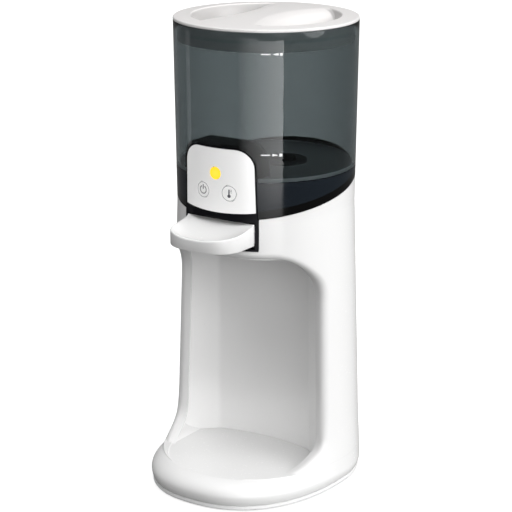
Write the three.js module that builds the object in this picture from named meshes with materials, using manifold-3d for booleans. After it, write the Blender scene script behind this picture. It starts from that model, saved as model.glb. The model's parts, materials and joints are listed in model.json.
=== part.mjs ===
// Instant bottle warmer, in millimetres. +Z is up and the front faces -Y.
// A moulded stand holds a bottle nook, a press lever and a control panel; a smoky tank with a lid
// stands on its slanted top. Shapes are drawn about the tower's upright axis, and the whole is then
// shifted so that the middle of the foot's outline lies at the origin.
import * as THREE from "three";
import { mergeVertices } from "three/addons/utils/BufferGeometryUtils.js";
import Module from "manifold-3d";

const wasm = await Module();
wasm.setup();

// Outer form
const footHalfWidth = 71.2;
const footFrontReach = 98.3;
const footRearReach = 70.9;
const footFrontExponent = 2.35;
const towerFootRadius = 70.8;
const waistRadius = 64.43;
const waistRise = 30.5;
const bodyTopRadius = 66.2;
const shellWall = 2.6;

// Foot of the stand
const floorHeight = 20;
const widestHeight = 10;
const shoulderWidth = 16;
const underHeight = 4.3;
const underInset = 1.3;
const flareTopHeight = 58;
const flareExponent = 3;

// Bottle nook
const nookHeight = 176.5;
const nookHalfWidthTop = 63.3;
const nookHalfWidthFoot = 65.3;
const nookCornerWidth = 25.5;
const nookCornerHeight = 39;
const nookCornerExponent = 2.05;
const nookFootCornerWidth = 14.5;
const nookFootCornerHeight = 22;
const nookBackY = 3.2;
const nookBackRadius = 132;
const nookCreaseX = 40;
const nookSideAngle = 41.7;
const nookCreaseRadius = 9;
const nookReach = 130;
const linerWall = 2;
const linerSetback = 0.9;
const mouthRound = 4.2;
const mouthReturn = 9;
const floorLedge = 5;
const floorBorder = 13;
const floorRecess = 0.6;

// Slanted top of the stand, a plane that rises to the rear
const seatRise = 12.3;
const seatSlope = 0.215;
const rimRise = 6.5;
const rimSlopeShare = 0.77;
const rimWall = 2.1;
const deckDrop = 4;
const deckThickness = 2.4;
const seatSkirtDepth = 12;

// Tank
const tankWall = 2.2;
const tankRise = 120.7;
const lidRimDepth = 2.3;
const tankFloorThickness = 2.2;
const pocketMargin = 1.4;
const pocketBackY = -46;
const valveX = 15;
const valveY = 1;
const valveCapRadius = 16.5;
const valveCapRise = 2.4;
const valveBarrelRadius = 8.6;
const valveBoreRadius = 4.6;
const valveFlangeRadius = 12;
const valveFlangeThickness = 2.2;
const valveSpigotRadius = 7.5;
const valveSpigotDrop = 10.6;
const valveThroatRadius = 2.6;
const valveThroatLength = 1.6;
const valveBarrelRise = 3.6;
const valveLipRadius = 3;
const valveLipHeight = 1.4;
const plungerHeadLift = 3.2;
const plungerHeadHeight = 3.4;
const plungerStemRadius = 1.6;
const plungerStemDrop = 1.5;
const valveSpringRadius = 3.6;
const valveSpringWire = 0.7;
const valveSpringTurns = 3;
const sealSection = 1.4;
const sealHeight = 2.4;
const socketWall = 1.8;
const socketGap = 2;
const portOffset = 5.2;

// Lid
const lidCrown = 2.2;
const lidShell = 2;
const lidEdgeRound = 0.9;
const lidSkirtDepth = 14;
const lidSkirtWall = 1.8;
const lidPocketDepth = 10;
const lidBarHalfWidth = 10;
const lidPocketRadius = 54;
const lidBarArc = 102;
const lidPocketBarRun = 21;
const lidPocketRimRun = 14.5;
const lidSealHeight = 2.4;

// Control tower and panel
const panelHalfWidthFoot = 29.1;
const panelHalfWidthTop = 28;
const panelRise = 36.7;
const panelCorner = 13;
const panelThickness = 2;
const panelFootRise = 4.8;
const housingWall = 1.8;
const housingBackY = -49;
const lightRise = 18.9;
const lightRadius = 4.4;
const buttonX = 10.9;
const buttonRise = 5.5;
const buttonRadius = 5.8;
const buttonTravel = 0.8;
const boardY = -54.6;
const boardThickness = 1.6;
const boardHalfWidth = 22;
const boardDrop = 3.3;
const boardLength = 32;
const switchSize = 6;
const switchDepth = 2.6;
const switchBore = 2;
const switchBoreDepth = 1.6;
const capDepth = 3.3;
const stemRadius = 1.7;
const stemReach = 0.3;
const pegRadius = 2;
const pegX = 16;
const pegInset = 4;

// Lever and its frame
const bezelHalfWidth = 31;
const bezelRise = 7.8;
const bezelThickness = 4;
const bezelChamfer = 2.2;
const notchBackY = -44;
const leverHalfWidth = 28.2;
const leverGap = 0.6;
const leverLift = 3.7;
const leverFrontY = -93;
const leverBackY = -58;
const leverBackRise = 16.2;
const leverDishRise = 5.4;
const leverRimShare = 0.97;
const leverDishPower = 4;
const dishCentreY = -70.3;
const leverSideDrop = 6.2;
const leverSidePower = 0.45;
const leverNoseDrop = 2;
const leverNosePower = 12;
const leverCornerY = -71;
const leverCornerPower = 2.6;
const leverBlockRise = 1.5;
const leverBlockDepth = 9.1;
const leverBlockBackY = -46;
const leverSill = 1.3;
const pinY = -43;
const pinRise = 7.4;
const pinRadius = 2;
const hubRadius = 4.4;
const webHalfThickness = 3;
const lugRise = 11.9;
const lugBackY = -38.6;
const tongueHalfWidth = 4;
const tongueEndY = -24;
const tongueThickness = 3;
const springRadius = 3.4;
const springWire = 0.9;
const springTurns = 4;
const springY = -52;

// Lever switch, hung under the seat deck
const microY = -30;
const microWidth = 6.4;
const microLength = 13;
const microHeight = 5.6;
const microButtonWidth = 2.4;
const microButtonY = -28;
const microButtonSink = 0.8;
const microBoreDepth = 2.6;

// Water path and heater
const boilerFrontRoom = 8.8;
const boilerRearRoom = 8.2;
const boilerFoot = 34;
const boilerTop = 132;
const boilerRound = 6;
const standWall = 3;
const standFlange = 7;
const bandFoot = 48;
const bandTop = 84;
const bandThickness = 2.4;
const bandEar = 4;
const fuseRadius = 3.4;
const fuseLength = 12;
const sensorRadius = 4;
const sensorHeight = 10;
const tubeRadius = 3.6;
const tubeBore = 1.9;
const tubeStandoff = 17.5;
const nippleRadius = 3.6;
const nippleBore = 1.8;
const nippleDrop = 5;
const valveBlockHalfWidth = 12;
const valveBlockDepth = 21;
const valveBlockHeight = 11.6;
const coilRadius = 8;
const coilLength = 16;
const spoutY = -34;
const spoutRadius = 6.4;
const spoutBore = 1.9;
const spoutDrop = 4;
const spoutTipRadius = 4.2;

// Base plate, feet and screws
const plateFoot = 1.2;
const plateThickness = 2.8;
const plateInset = 1.4;
const plateLipRise = 3;
const plateLipWall = 1.6;
const footPadRadius = 7;
const footPadDepth = 2.4;
const padFrontInsetX = 33.2;
const padFrontInsetY = 30.3;
const padRearInsetX = 27.2;
const padRearInsetY = 30.9;
const screwFrontInsetX = 19.2;
const screwFrontInsetY = 54.3;
const screwRearInsetX = 41.2;
const screwRearInsetY = 14.9;
const screwRadius = 1.5;
const screwHeadRadius = 2.9;
const screwHeadHeight = 1.4;
const screwLength = 10;
const bossRadius = 4;
const bossBore = 1.8;
const powerBoardHalfWidth = 32;
const powerBoardDepth = 40;
const powerBoardY = -34;
const powerBoardRise = 3;
const standoffRadius = 3;
const glandHeight = 26;
const glandRadius = 8;
const glandFlange = 1.2;
const glandProud = 0.1;
const glandBarrelRadius = 5.6;
const glandSlotHalfWidth = 3.4;
const glandSlotHalfHeight = 1.9;

// Clearances: gap between pieces that touch, running gap between pieces that move
const gap = 0.3;
const slideGap = 0.5;
const overrun = 40;

// The boiler fills the room between the nook's back and the tower's rear wall
const boilerFront = nookBackY + linerWall + boilerFrontRoom;
const boilerRadius = (towerFootRadius - shellWall - boilerRearRoom - boilerFront) / 2;
const boilerY = boilerFront + boilerRadius;

// Heights that follow from those sizes, from the nook up to the lid
const waistHeight = nookHeight + waistRise;
const seatHeight = waistHeight + seatRise;
const bodyTopHeight = seatHeight + tankRise;
const tankTopHeight = bodyTopHeight - lidRimDepth;
const panelTopHeight = seatHeight + panelRise;
const lightHeight = seatHeight + lightRise;
const buttonHeight = seatHeight + buttonRise;
const boardFoot = seatHeight - boardDrop;
const boardTop = boardFoot + boardLength;
const bezelFoot = nookHeight + bezelRise;
const leverFoot = bezelFoot + leverLift;
const leverBackHeight = leverFoot + leverBackRise;
const leverDishFront = leverFoot + leverDishRise;
const leverBlockTop = leverFoot + leverBlockRise + leverBlockDepth;
const lugTop = leverFoot + lugRise;
const pinHeight = leverFoot + pinRise;

// Facet counts
const roundSteps = 64;
const hiddenSteps = 36;
const midSteps = 24;
const smallSteps = 14;
const arcSteps = 8;
const pocketSteps = 12;
const wireSides = 5;

// Helpers for solids

const signedVolume = (points, triangles) => {
  let sum = 0;
  const [a, b, c] = [new THREE.Vector3(), new THREE.Vector3(), new THREE.Vector3()];
  for (let i = 0; i < triangles.length; i += 3) {
    a.fromArray(points, triangles[i] * 3);
    b.fromArray(points, triangles[i + 1] * 3);
    c.fromArray(points, triangles[i + 2] * 3);
    sum += a.dot(b.cross(c));
  }
  return sum;
};

// A closed geometry as a solid, with its faces turned out
function solid(geometry) {
  const bare = geometry.clone();
  bare.deleteAttribute("normal");
  bare.deleteAttribute("uv");
  const merged = mergeVertices(bare);
  const points = merged.attributes.position.array;
  const triangles = [];
  for (let i = 0; i < merged.index.count; i += 3) {
    const [a, b, c] = [0, 1, 2].map((k) => merged.index.getX(i + k));
    if (a !== b && b !== c && c !== a) triangles.push(a, b, c);
  }
  if (signedVolume(points, triangles) < 0) triangles.reverse();
  const vertProperties = Float32Array.from(points);
  const triVerts = Uint32Array.from(triangles);
  return new wasm.Manifold(new wasm.Mesh({ numProp: 3, vertProperties, triVerts }));
}

const joined = (first, ...rest) => rest.reduce((all, next) => all.add(next), first);
const cut = (first, ...rest) => rest.reduce((left, next) => left.subtract(next), first);
const shared = (first, ...rest) => rest.reduce((left, next) => left.intersect(next), first);

// A solid from points on a ring of outlines, each with as many points, closed by fans
function lofted(rings) {
  const count = rings[0].length;
  const points = rings.flat();
  const triangles = [];
  rings.slice(1).forEach((ring, k) => {
    for (let i = 0; i < count; i += 1) {
      const next = (i + 1) % count;
      const [a, b] = [k * count + i, k * count + next];
      triangles.push(a, b, b + count, a, b + count, a + count);
    }
  });
  [rings[0], rings.at(-1)].forEach((ring, end) => {
    const middle = ring.reduce((sum, p) => sum.add(p), new THREE.Vector3()).divideScalar(count);
    const centre = points.push(middle) - 1;
    const start = end ? (rings.length - 1) * count : 0;
    for (let i = 0; i < count; i += 1) {
      const pair = [start + i, start + ((i + 1) % count)];
      triangles.push(centre, ...(end ? pair : pair.reverse()));
    }
  });
  const geometry = new THREE.BufferGeometry().setFromPoints(points);
  geometry.setIndex(triangles);
  return solid(geometry);
}

// A profile of [radius, height] turned about the upright axis at x, y
function turned(profile, steps = midSteps, x = 0, y = 0) {
  const points = profile.map(([r, z]) => new THREE.Vector2(r, z));
  const geometry = new THREE.LatheGeometry(points, steps);
  return solid(geometry.rotateX(Math.PI / 2).translate(x, y, 0));
}

const rod = (radius, z0, z1, x = 0, y = 0, steps = smallSteps) =>
  turned([[0, z0], [radius, z0], [radius, z1], [0, z1]], steps, x, y);

const ring = (bore, radius, z0, z1, x = 0, y = 0, steps = midSteps) =>
  turned([[bore, z0], [radius, z0], [radius, z1], [bore, z1], [bore, z0]], steps, x, y);

function box(x0, x1, y0, y1, z0, z1) {
  const geometry = new THREE.BoxGeometry(x1 - x0, y1 - y0, z1 - z0);
  return solid(geometry.translate((x0 + x1) / 2, (y0 + y1) / 2, (z0 + z1) / 2));
}

const flat = (points) => new THREE.Shape(points.map(([u, v]) => new THREE.Vector2(u, v)));

function pulled(shape, from, to, across, up, along) {
  const geometry = new THREE.ExtrudeGeometry(shape, {
    depth: to - from,
    bevelEnabled: false,
    curveSegments: arcSteps,
  });
  const basis = new THREE.Matrix4().makeBasis(across, up, along);
  return solid(geometry.translate(0, 0, from).applyMatrix4(basis));
}

const axisX = new THREE.Vector3(1, 0, 0);
const axisY = new THREE.Vector3(0, 1, 0);
const axisZ = new THREE.Vector3(0, 0, 1);

// A plan outline raised from z0 to z1
const raised = (shape, z0, z1) => pulled(shape, z0, z1, axisX, axisY, axisZ);
// A front view, in x and z, carried from y0 to y1
const carried = (shape, y0, y1) => pulled(shape, -y1, -y0, axisX, axisZ, axisY.clone().negate());
// A side view, in y and z, carried from x0 to x1
const widened = (shape, x0, x1) => pulled(shape, x0, x1, axisY, axisZ, axisX);

const rodAlongX = (radius, x0, x1, y, z) => widened(circle(y, z, radius), x0, x1);

function arcPoints(x, y, radius, from, to, steps) {
  return Array.from({ length: steps + 1 }, (_, i) => {
    const angle = from + ((to - from) * i) / steps;
    return [x + radius * Math.cos(angle), y + radius * Math.sin(angle)];
  });
}

const circle = (u, v, radius, steps = smallSteps) =>
  flat(arcPoints(u, v, radius, 0, 2 * Math.PI, steps).slice(1));

const mirrored = (points) => points.map(([u, v]) => [-u, v]).reverse();
const radians = THREE.MathUtils.degToRad;

// A tube of a round section with a bore, along a smooth path through the points
function tube(points, radius, bore, steps) {
  const section = flat(arcPoints(0, 0, radius, 0, 2 * Math.PI, arcSteps).slice(1));
  if (bore) {
    const hole = arcPoints(0, 0, bore, 0, 2 * Math.PI, arcSteps).slice(1);
    section.holes.push(new THREE.Path(hole.map(([u, v]) => new THREE.Vector2(u, v))));
  }
  const path = new THREE.CatmullRomCurve3(points.map((p) => new THREE.Vector3(...p)), false, "centripetal");
  return solid(new THREE.ExtrudeGeometry(section, { steps, extrudePath: path }));
}

// Forms that several pieces share

// Radius of the round body: it narrows from the foot to the waist and widens again to the lid
function bodyRadius(z) {
  if (z < waistHeight) {
    return towerFootRadius + ((waistRadius - towerFootRadius) * z) / waistHeight;
  }
  const rise = (z - waistHeight) / (bodyTopHeight - waistHeight);
  return waistRadius + (bodyTopRadius - waistRadius) * rise;
}

// The round body between two heights, drawn in by an inset
function barrel(inset, z0, z1, steps = roundSteps) {
  const heights = z0 < waistHeight && z1 > waistHeight ? [z0, waistHeight, z1] : [z0, z1];
  const side = heights.map((z) => [bodyRadius(z) - inset, z]);
  return turned([[0, z0], ...side, [0, z1]], steps);
}

// Radius of the foot's outline at an angle from the front: a superellipse ahead, an ellipse behind
function footRadius(angle) {
  const ahead = Math.cos(angle) > 0;
  const power = ahead ? footFrontExponent : 2;
  const reach = ahead ? footFrontReach : footRearReach;
  const across = Math.abs(Math.sin(angle) / footHalfWidth) ** power;
  const along = Math.abs(Math.cos(angle) / reach) ** power;
  return (across + along) ** (-1 / power);
}

const onRing = (angle, radius, z) =>
  new THREE.Vector3(radius * Math.sin(angle), -radius * Math.cos(angle), z);
const anglesIn = (steps, share) =>
  Array.from({ length: steps }, (_, i) => (2 * Math.PI * (i + share)) / steps);
const ringAngles = anglesIn(roundSteps, 1 / 2);
const hiddenAngles = anglesIn(hiddenSteps, 1 / 2);


// How far the foot's side is drawn in at a height: undercut below, a round shoulder above
function footInset(z, top) {
  if (z < widestHeight) {
    const fall = (widestHeight - z) / (widestHeight - underHeight);
    return underInset * fall ** 2;
  }
  const rise = Math.min((z - widestHeight) / (top - widestHeight), 1);
  return shoulderWidth * (1 - Math.sqrt(1 - rise ** 2));
}

// Radius of the stand's outer surface: the tower flares into the foot
function standRadiusAt(angle, z) {
  const tower = bodyRadius(z);
  const foot = footRadius(angle);
  const fall = 1 - Math.min(Math.max((z - widestHeight) / (flareTopHeight - widestHeight), 0), 1);
  const flared = tower + (foot - tower) * fall ** flareExponent;
  if (z > floorHeight) return flared;
  return Math.max(z < widestHeight ? 0 : flared, foot - footInset(z, floorHeight));
}

const footLevelShares = [0, 0.4, 0.7, 0.88, 1];
const flareLevelShares = [0.08, 0.18, 0.32, 0.5, 0.72, 1];

function standForm(inset) {
  const underLevels = [underHeight, (underHeight + widestHeight) / 2];
  const footLevels = footLevelShares.map((share) => widestHeight + (floorHeight - widestHeight) * share);
  const flareLevels = flareLevelShares.map((share) => floorHeight + (flareTopHeight - floorHeight) * share);
  const levels = [...underLevels, ...footLevels, ...flareLevels, waistHeight, waistHeight + overrun];
  return lofted(levels.map((z) => ringAngles.map((a) => onRing(a, standRadiusAt(a, z) - inset, z))));
}

// The hollow under the foot
function footHollow() {
  const top = floorHeight - shellWall;
  const levels = footLevelShares.map((share) => widestHeight + (top - widestHeight) * share);
  const rings = levels.map((z) =>
    hiddenAngles.map((a) => onRing(a, footRadius(a) - shellWall - footInset(z, top), z)),
  );
  const under = underHeight - overrun;
  const foot = hiddenAngles.map((a) => onRing(a, footRadius(a) - shellWall - underInset, under));
  return lofted([foot, ...rings]);
}

// Space above a plane that rises to the rear
function aboveSlant(height, slope = seatSlope) {
  const far = footFrontReach;
  const top = bodyTopHeight + overrun;
  const side = [[-far, height - slope * far], [far, height + slope * far], [far, top], [-far, top]];
  return widened(flat(side), -far, far);
}

const slantAt = (y) => seatHeight + seatSlope * y;

// Front view of the nook's opening, grown outwards all round
function nookFront(grow) {
  const corner = (width, height, power) =>
    Array.from({ length: arcSteps + 1 }, (_, i) => {
      const angle = (Math.PI / 2) * (i / arcSteps);
      return [width * Math.cos(angle) ** (2 / power), height * Math.sin(angle) ** (2 / power)];
    });
  const [topW, topH] = [nookCornerWidth + grow, nookCornerHeight + grow];
  const [footW, footH] = [nookFootCornerWidth + grow, nookFootCornerHeight + grow];
  const topX = nookHalfWidthTop - nookCornerWidth;
  const footX = nookHalfWidthFoot - nookFootCornerWidth;
  const topZ = nookHeight - nookCornerHeight;
  const footZ = floorHeight + nookFootCornerHeight;
  const upper = corner(topW, topH, nookCornerExponent).map(([u, v]) => [topX + u, topZ + v]);
  const lower = corner(footW, footH, 2).map(([u, v]) => [footX + u, footZ - v]).reverse();
  return [...lower, ...upper];
}

const creaseY = nookBackY - nookBackRadius + Math.sqrt(nookBackRadius ** 2 - nookCreaseX ** 2);
const sideTurn = radians(nookSideAngle);

// Plan of the nook: a shallow back arc, soft creases and side walls that open to the front
function nookPlan(grow) {
  const centreY = nookBackY - nookBackRadius;
  const along = new THREE.Vector2(Math.cos(sideTurn), -Math.sin(sideTurn));
  const out = new THREE.Vector2(Math.sin(sideTurn), Math.cos(sideTurn));
  const start = new THREE.Vector2(nookCreaseX, creaseY).addScaledVector(out, -nookCreaseRadius);
  // The crease circle touches the back arc from inside and the side wall
  const fromArc = start.clone().sub(new THREE.Vector2(0, centreY));
  const half = fromArc.dot(along);
  const rest = fromArc.lengthSq() - (nookBackRadius - nookCreaseRadius) ** 2;
  const middle = start.clone().addScaledVector(along, -half - Math.sqrt(half ** 2 - rest));
  const meet = Math.atan2(middle.y - centreY, middle.x);
  const wall = Math.atan2(out.y, out.x);
  const crease = arcPoints(middle.x, middle.y, nookCreaseRadius + grow, wall, meet, arcSteps);
  const back = arcPoints(0, centreY, nookBackRadius + grow, meet, Math.PI / 2, arcSteps);
  const far = new THREE.Vector2(...crease[0]).addScaledVector(along, nookReach / 2);
  const right = [[far.x, -nookReach], [far.x, far.y], ...crease, ...back.slice(1)];
  return [...right, ...mirrored(right).slice(1)];
}

// The nook's space, grown by a wall, above a floor
function nookSpace(grow, floor) {
  const right = nookFront(grow);
  const front = carried(flat([...right, ...mirrored(right)]), -nookReach, overrun);
  return shared(front, raised(flat(nookPlan(grow)), floor, nookHeight + overrun));
}

// Pieces

const body = new THREE.Group();
const warmer = new THREE.Group();
warmer.add(body);
body.position.y = (footFrontReach - footRearReach) / 2;

const colours = {
  shell: { color: 0xf4f4f3, roughness: 0.22, metalness: 0 },
  liner: { color: 0xeeeeee, roughness: 0.28, metalness: 0 },
  plate: { color: 0xd9dadb, roughness: 0.5, metalness: 0 },
  lid: { color: 0xe9e7e4, roughness: 0.34, metalness: 0 },
  black: { color: 0x0a0b0d, roughness: 0.18, metalness: 0 },
  smoke: { color: 0x4d5a60, roughness: 0.08, metalness: 0 },
  rubber: { color: 0x3a3b3d, roughness: 0.8, metalness: 0 },
  silicone: { color: 0xdfe3e2, roughness: 0.6, metalness: 0 },
  steel: { color: 0xb9bcc0, roughness: 0.3, metalness: 1 },
  board: { color: 0x1f6b3d, roughness: 0.5, metalness: 0 },
  amber: { color: 0xffcf1f, roughness: 0.3, metalness: 0 },
  heater: { color: 0x8d7a5a, roughness: 0.6, metalness: 0 },
};

function add(name, shape, look) {
  const mesh = shape.getMesh();
  const geometry = new THREE.BufferGeometry();
  geometry.setAttribute("position", new THREE.BufferAttribute(mesh.vertProperties, mesh.numProp));
  geometry.setIndex(new THREE.BufferAttribute(mesh.triVerts, 1));
  geometry.computeVertexNormals();
  const node = new THREE.Mesh(geometry, new THREE.MeshStandardMaterial(colours[look]));
  node.name = name;
  body.add(node);
  return node;
}

const levelShares = [0.125, 0.375, 0.625, 0.875];

// The soft round of the nook's mouth: outlines on the stand's surface that widen towards it
function mouthRounding() {
  const depthShares = [1, 0.62, 0.3, 0.08];
  const grow = linerWall + gap - linerSetback;
  const sideOffset = nookCreaseX * Math.sin(sideTurn) + creaseY * Math.cos(sideTurn) + grow;
  const front = nookFront(grow);
  const across = ([x, z], shares) => shares.map((share) => [x * share, z]);
  const outline = [
    ...across(front[0], levelShares),
    ...front,
    ...across(front.at(-1), [...levelShares].reverse()),
  ];
  // Where the front outline or the side wall, whichever comes first, leaves the stand's surface
  const edge = outline.map(([x, z]) => {
    let angle = Math.PI / 2;
    for (let i = 0; i < arcSteps; i += 1) {
      const radius = standRadiusAt(angle, z);
      const bySide = Math.PI / 2 - sideTurn + Math.asin(sideOffset / radius);
      angle = Math.min(Math.asin(Math.min(x / radius, 1)), bySide);
    }
    return [angle, z];
  });
  const onSurface = [...edge, ...mirrored(edge)];
  const centreZ = (floorHeight + nookHeight) / 2;
  const level = (depth, widen) =>
    onSurface.map(([angle, z], i) => {
      const [before, after] = [onSurface.at(i - 1), onSurface[(i + 1) % onSurface.length]];
      const radius = standRadiusAt(angle, z);
      const way = new THREE.Vector2((after[0] - before[0]) * radius, after[1] - before[1]).normalize();
      const outward = new THREE.Vector2(way.y, -way.x);
      if (outward.dot(new THREE.Vector2(angle * radius, z - centreZ)) < 0) outward.negate();
      const turnedTo = angle + (outward.x * widen) / radius;
      return onRing(turnedTo, radius - depth, z + outward.y * widen);
    });
  const rings = depthShares.map((share) => {
    const depth = mouthRound * share;
    return level(depth, mouthRound - Math.sqrt(mouthRound ** 2 - (mouthRound - depth) ** 2));
  });
  const outside = level(-mouthRound, 2 * mouthRound);
  const ahead = outside.map((p) => p.clone().setY(-nookReach));
  return lofted([level(2 * mouthRound, 0), ...rings, outside, ahead]);
}

function outerHousing() {
  const top = waistHeight + 2 * overrun;
  const plan = flat(nookPlan(linerWall + gap + floorLedge));
  const floor = raised(plan, floorHeight - shellWall, floorHeight);
  const recess = raised(footOutline(floorBorder), floorHeight - floorRecess, top);
  const clear = joined(
    nookSpace(linerWall + gap, floorHeight),
    shared(nookSpace(linerWall + gap, floorHeight - floorRecess), recess),
  );
  const mouthWall = cut(
    nookSpace(linerWall + gap + shellWall, floorHeight - overrun),
    barrel(mouthReturn, -overrun, top),
  );
  const tower = cut(barrel(shellWall, widestHeight, top, hiddenSteps), floor, mouthWall);
  const notch = box(-bezelHalfWidth - gap, bezelHalfWidth + gap, -footFrontReach, notchBackY,
    bezelFoot - gap, top);
  const aboveFloor = box(-nookReach, nookReach, -nookReach, nookReach, floorHeight - floorRecess / 2, top);
  const shape = cut(standForm(0), footHollow(), tower, clear, shared(mouthRounding(), aboveFloor),
    notch, aboveSlant(seatHeight), glandHole());
  return joined(shape, ...bosses());
}

const glandFace = () => standRadiusAt(Math.PI, glandHeight) + glandProud;

function glandHole() {
  const seat = glandFace() - glandFlange - gap;
  return joined(
    carried(circle(0, glandHeight, glandRadius + gap), seat, seat + overrun),
    carried(circle(0, glandHeight, glandBarrelRadius + gap), boilerY, seat + overrun),
  );
}

// Screw bosses that stand on the inside of the foot, one over each screw
const cornerPlaces = (frontInsetX, frontInsetY, rearInsetX, rearInsetY) => ({
  front_left: [-footHalfWidth + frontInsetX, -footFrontReach + frontInsetY],
  front_right: [footHalfWidth - frontInsetX, -footFrontReach + frontInsetY],
  rear_left: [-footHalfWidth + rearInsetX, footRearReach - rearInsetY],
  rear_right: [footHalfWidth - rearInsetX, footRearReach - rearInsetY],
});
const screwPlaces = cornerPlaces(screwFrontInsetX, screwFrontInsetY, screwRearInsetX, screwRearInsetY);

function bosses() {
  const foot = plateFoot + plateThickness + gap;
  return Object.values(screwPlaces).map(([x, y]) => {
    const depth = floorHeight - shellWall / 2;
    const post = rod(bossRadius, foot, depth, x, y);
    const web = y > 0
      ? box(x - shellWall / 2, x + shellWall / 2, y, y + bossRadius * 2, foot, depth)
      : post;
    const kept = shared(joined(post, web), standForm(shellWall / 2));
    return cut(kept, rod(bossBore, foot - overrun, foot + screwLength, x, y));
  });
}

function nookLiner() {
  const walls = cut(nookSpace(linerWall, floorHeight + gap), nookSpace(0, floorHeight - overrun));
  const spoutHole = rod(spoutRadius + gap, nookHeight - overrun, nookHeight + overrun, 0, spoutY);
  return cut(shared(walls, standForm(linerSetback)), spoutHole);
}

// Base plate, feet and screws
const plateTop = plateFoot + plateThickness;
const padPlaces = cornerPlaces(padFrontInsetX, padFrontInsetY, padRearInsetX, padRearInsetY);

const footOutline = (inset, steps = roundSteps) =>
  flat(anglesIn(steps, 1 / 4).map((a) => onRing(a, footRadius(a) - inset, 0).toArray()));

function basePlate() {
  const plate = raised(footOutline(plateInset), plateFoot, plateTop);
  const lipInset = shellWall + 2 * slideGap;
  const lip = cut(
    raised(footOutline(lipInset, hiddenSteps), plateFoot, plateTop + plateLipRise),
    raised(footOutline(lipInset + plateLipWall, hiddenSteps), plateTop - gap, plateTop + overrun),
  );
  const room = Object.values(screwPlaces).map(([x, y]) =>
    joined(
      rod(bossRadius + gap, plateTop, plateTop + overrun, x, y),
      box(x - shellWall / 2 - gap, x + shellWall / 2 + gap, y, y + Math.sign(y) * 3 * bossRadius,
        plateTop, plateTop + overrun),
    ),
  );
  const [xs, ys] = [powerBoardHalfWidth - standoffRadius, powerBoardDepth / 2 - standoffRadius];
  const posts = [[-xs, -ys], [xs, -ys], [-xs, ys], [xs, ys]].map(([x, y]) =>
    rod(standoffRadius, plateTop - gap, plateTop + powerBoardRise - gap, x, powerBoardY + y),
  );
  const screwHoles = Object.values(screwPlaces).map(([x, y]) =>
    joined(
      rod(screwRadius + gap, plateFoot - overrun, plateTop + overrun, x, y),
      rod(screwHeadRadius + gap, plateFoot - overrun, plateFoot + screwHeadHeight + gap, x, y),
    ),
  );
  const padSeats = Object.values(padPlaces).map(([x, y]) =>
    rod(footPadRadius + gap, plateFoot - overrun, footPadDepth + gap, x, y, midSteps),
  );
  return cut(joined(plate, cut(lip, ...room), ...posts), ...screwHoles, ...padSeats);
}

function footPad(x, y) {
  const round = footPadDepth / 4;
  const profile = [[0, 0], [footPadRadius - round, 0], [footPadRadius, round]];
  return turned([...profile, [footPadRadius, footPadDepth], [0, footPadDepth]], midSteps, x, y);
}

function baseScrew(x, y) {
  const seat = plateFoot + screwHeadHeight;
  const tip = seat + screwLength;
  const head = [[0, plateFoot], [screwHeadRadius, plateFoot], [screwHeadRadius, seat]];
  return turned([...head, [screwRadius, seat], [screwRadius, tip], [0, tip]], smallSteps, x, y);
}

// Power board, with its parts as shares of the board's half width, half depth and free height
const boardPartShares = [
  [-0.6, 0.1, 0.22, 0.5, 0.9],
  [-0.05, -0.45, 0.2, 0.3, 0.75],
  [0.5, 0.35, 0.28, 0.34, 0.85],
  [0.45, -0.5, 0.12, 0.16, 0.6],
];

function powerBoard() {
  const foot = plateTop + powerBoardRise;
  const top = foot + boardThickness;
  const free = floorHeight - shellWall - 2 * gap - top;
  const [w, d] = [powerBoardHalfWidth, powerBoardDepth / 2];
  const blocks = boardPartShares.map(([x, y, halfWidth, halfDepth, height]) =>
    box((x - halfWidth) * w, (x + halfWidth) * w, powerBoardY + (y - halfDepth) * d,
      powerBoardY + (y + halfDepth) * d, foot, top + height * free),
  );
  return joined(box(-w, w, powerBoardY - d, powerBoardY + d, foot, top), ...blocks);
}

function cordGland() {
  const face = glandFace();
  const flange = carried(circle(0, glandHeight, glandRadius, midSteps), face - glandFlange, face);
  const inner = boilerY + boilerRadius - boilerRound + glandFlange;
  const barrelPart = carried(circle(0, glandHeight, glandBarrelRadius), inner, face - gap);
  const half = glandSlotHalfHeight;
  const ends = glandSlotHalfWidth - half;
  const right = arcPoints(ends, glandHeight, half, -Math.PI / 2, Math.PI / 2, arcSteps);
  const slot = flat([...right, ...mirrored(right)]);
  return cut(joined(flange, barrelPart), carried(slot, face - overrun, face + overrun));
}

// Seat tray that closes the tower and holds the tank
const tankFloorUnder = seatHeight + seatSlope * bodyRadius(seatHeight) + gap;
const tankFloorTop = tankFloorUnder + tankFloorThickness;
const deckTopAt = (y) => slantAt(y) - deckDrop;
const spigotFoot = tankFloorUnder - valveSpigotDrop;
const stemFoot = spigotFoot - plungerStemDrop;
const portFoot = deckTopAt(valveY) - deckThickness - nippleDrop;
const portX = valveX + portOffset;

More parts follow.
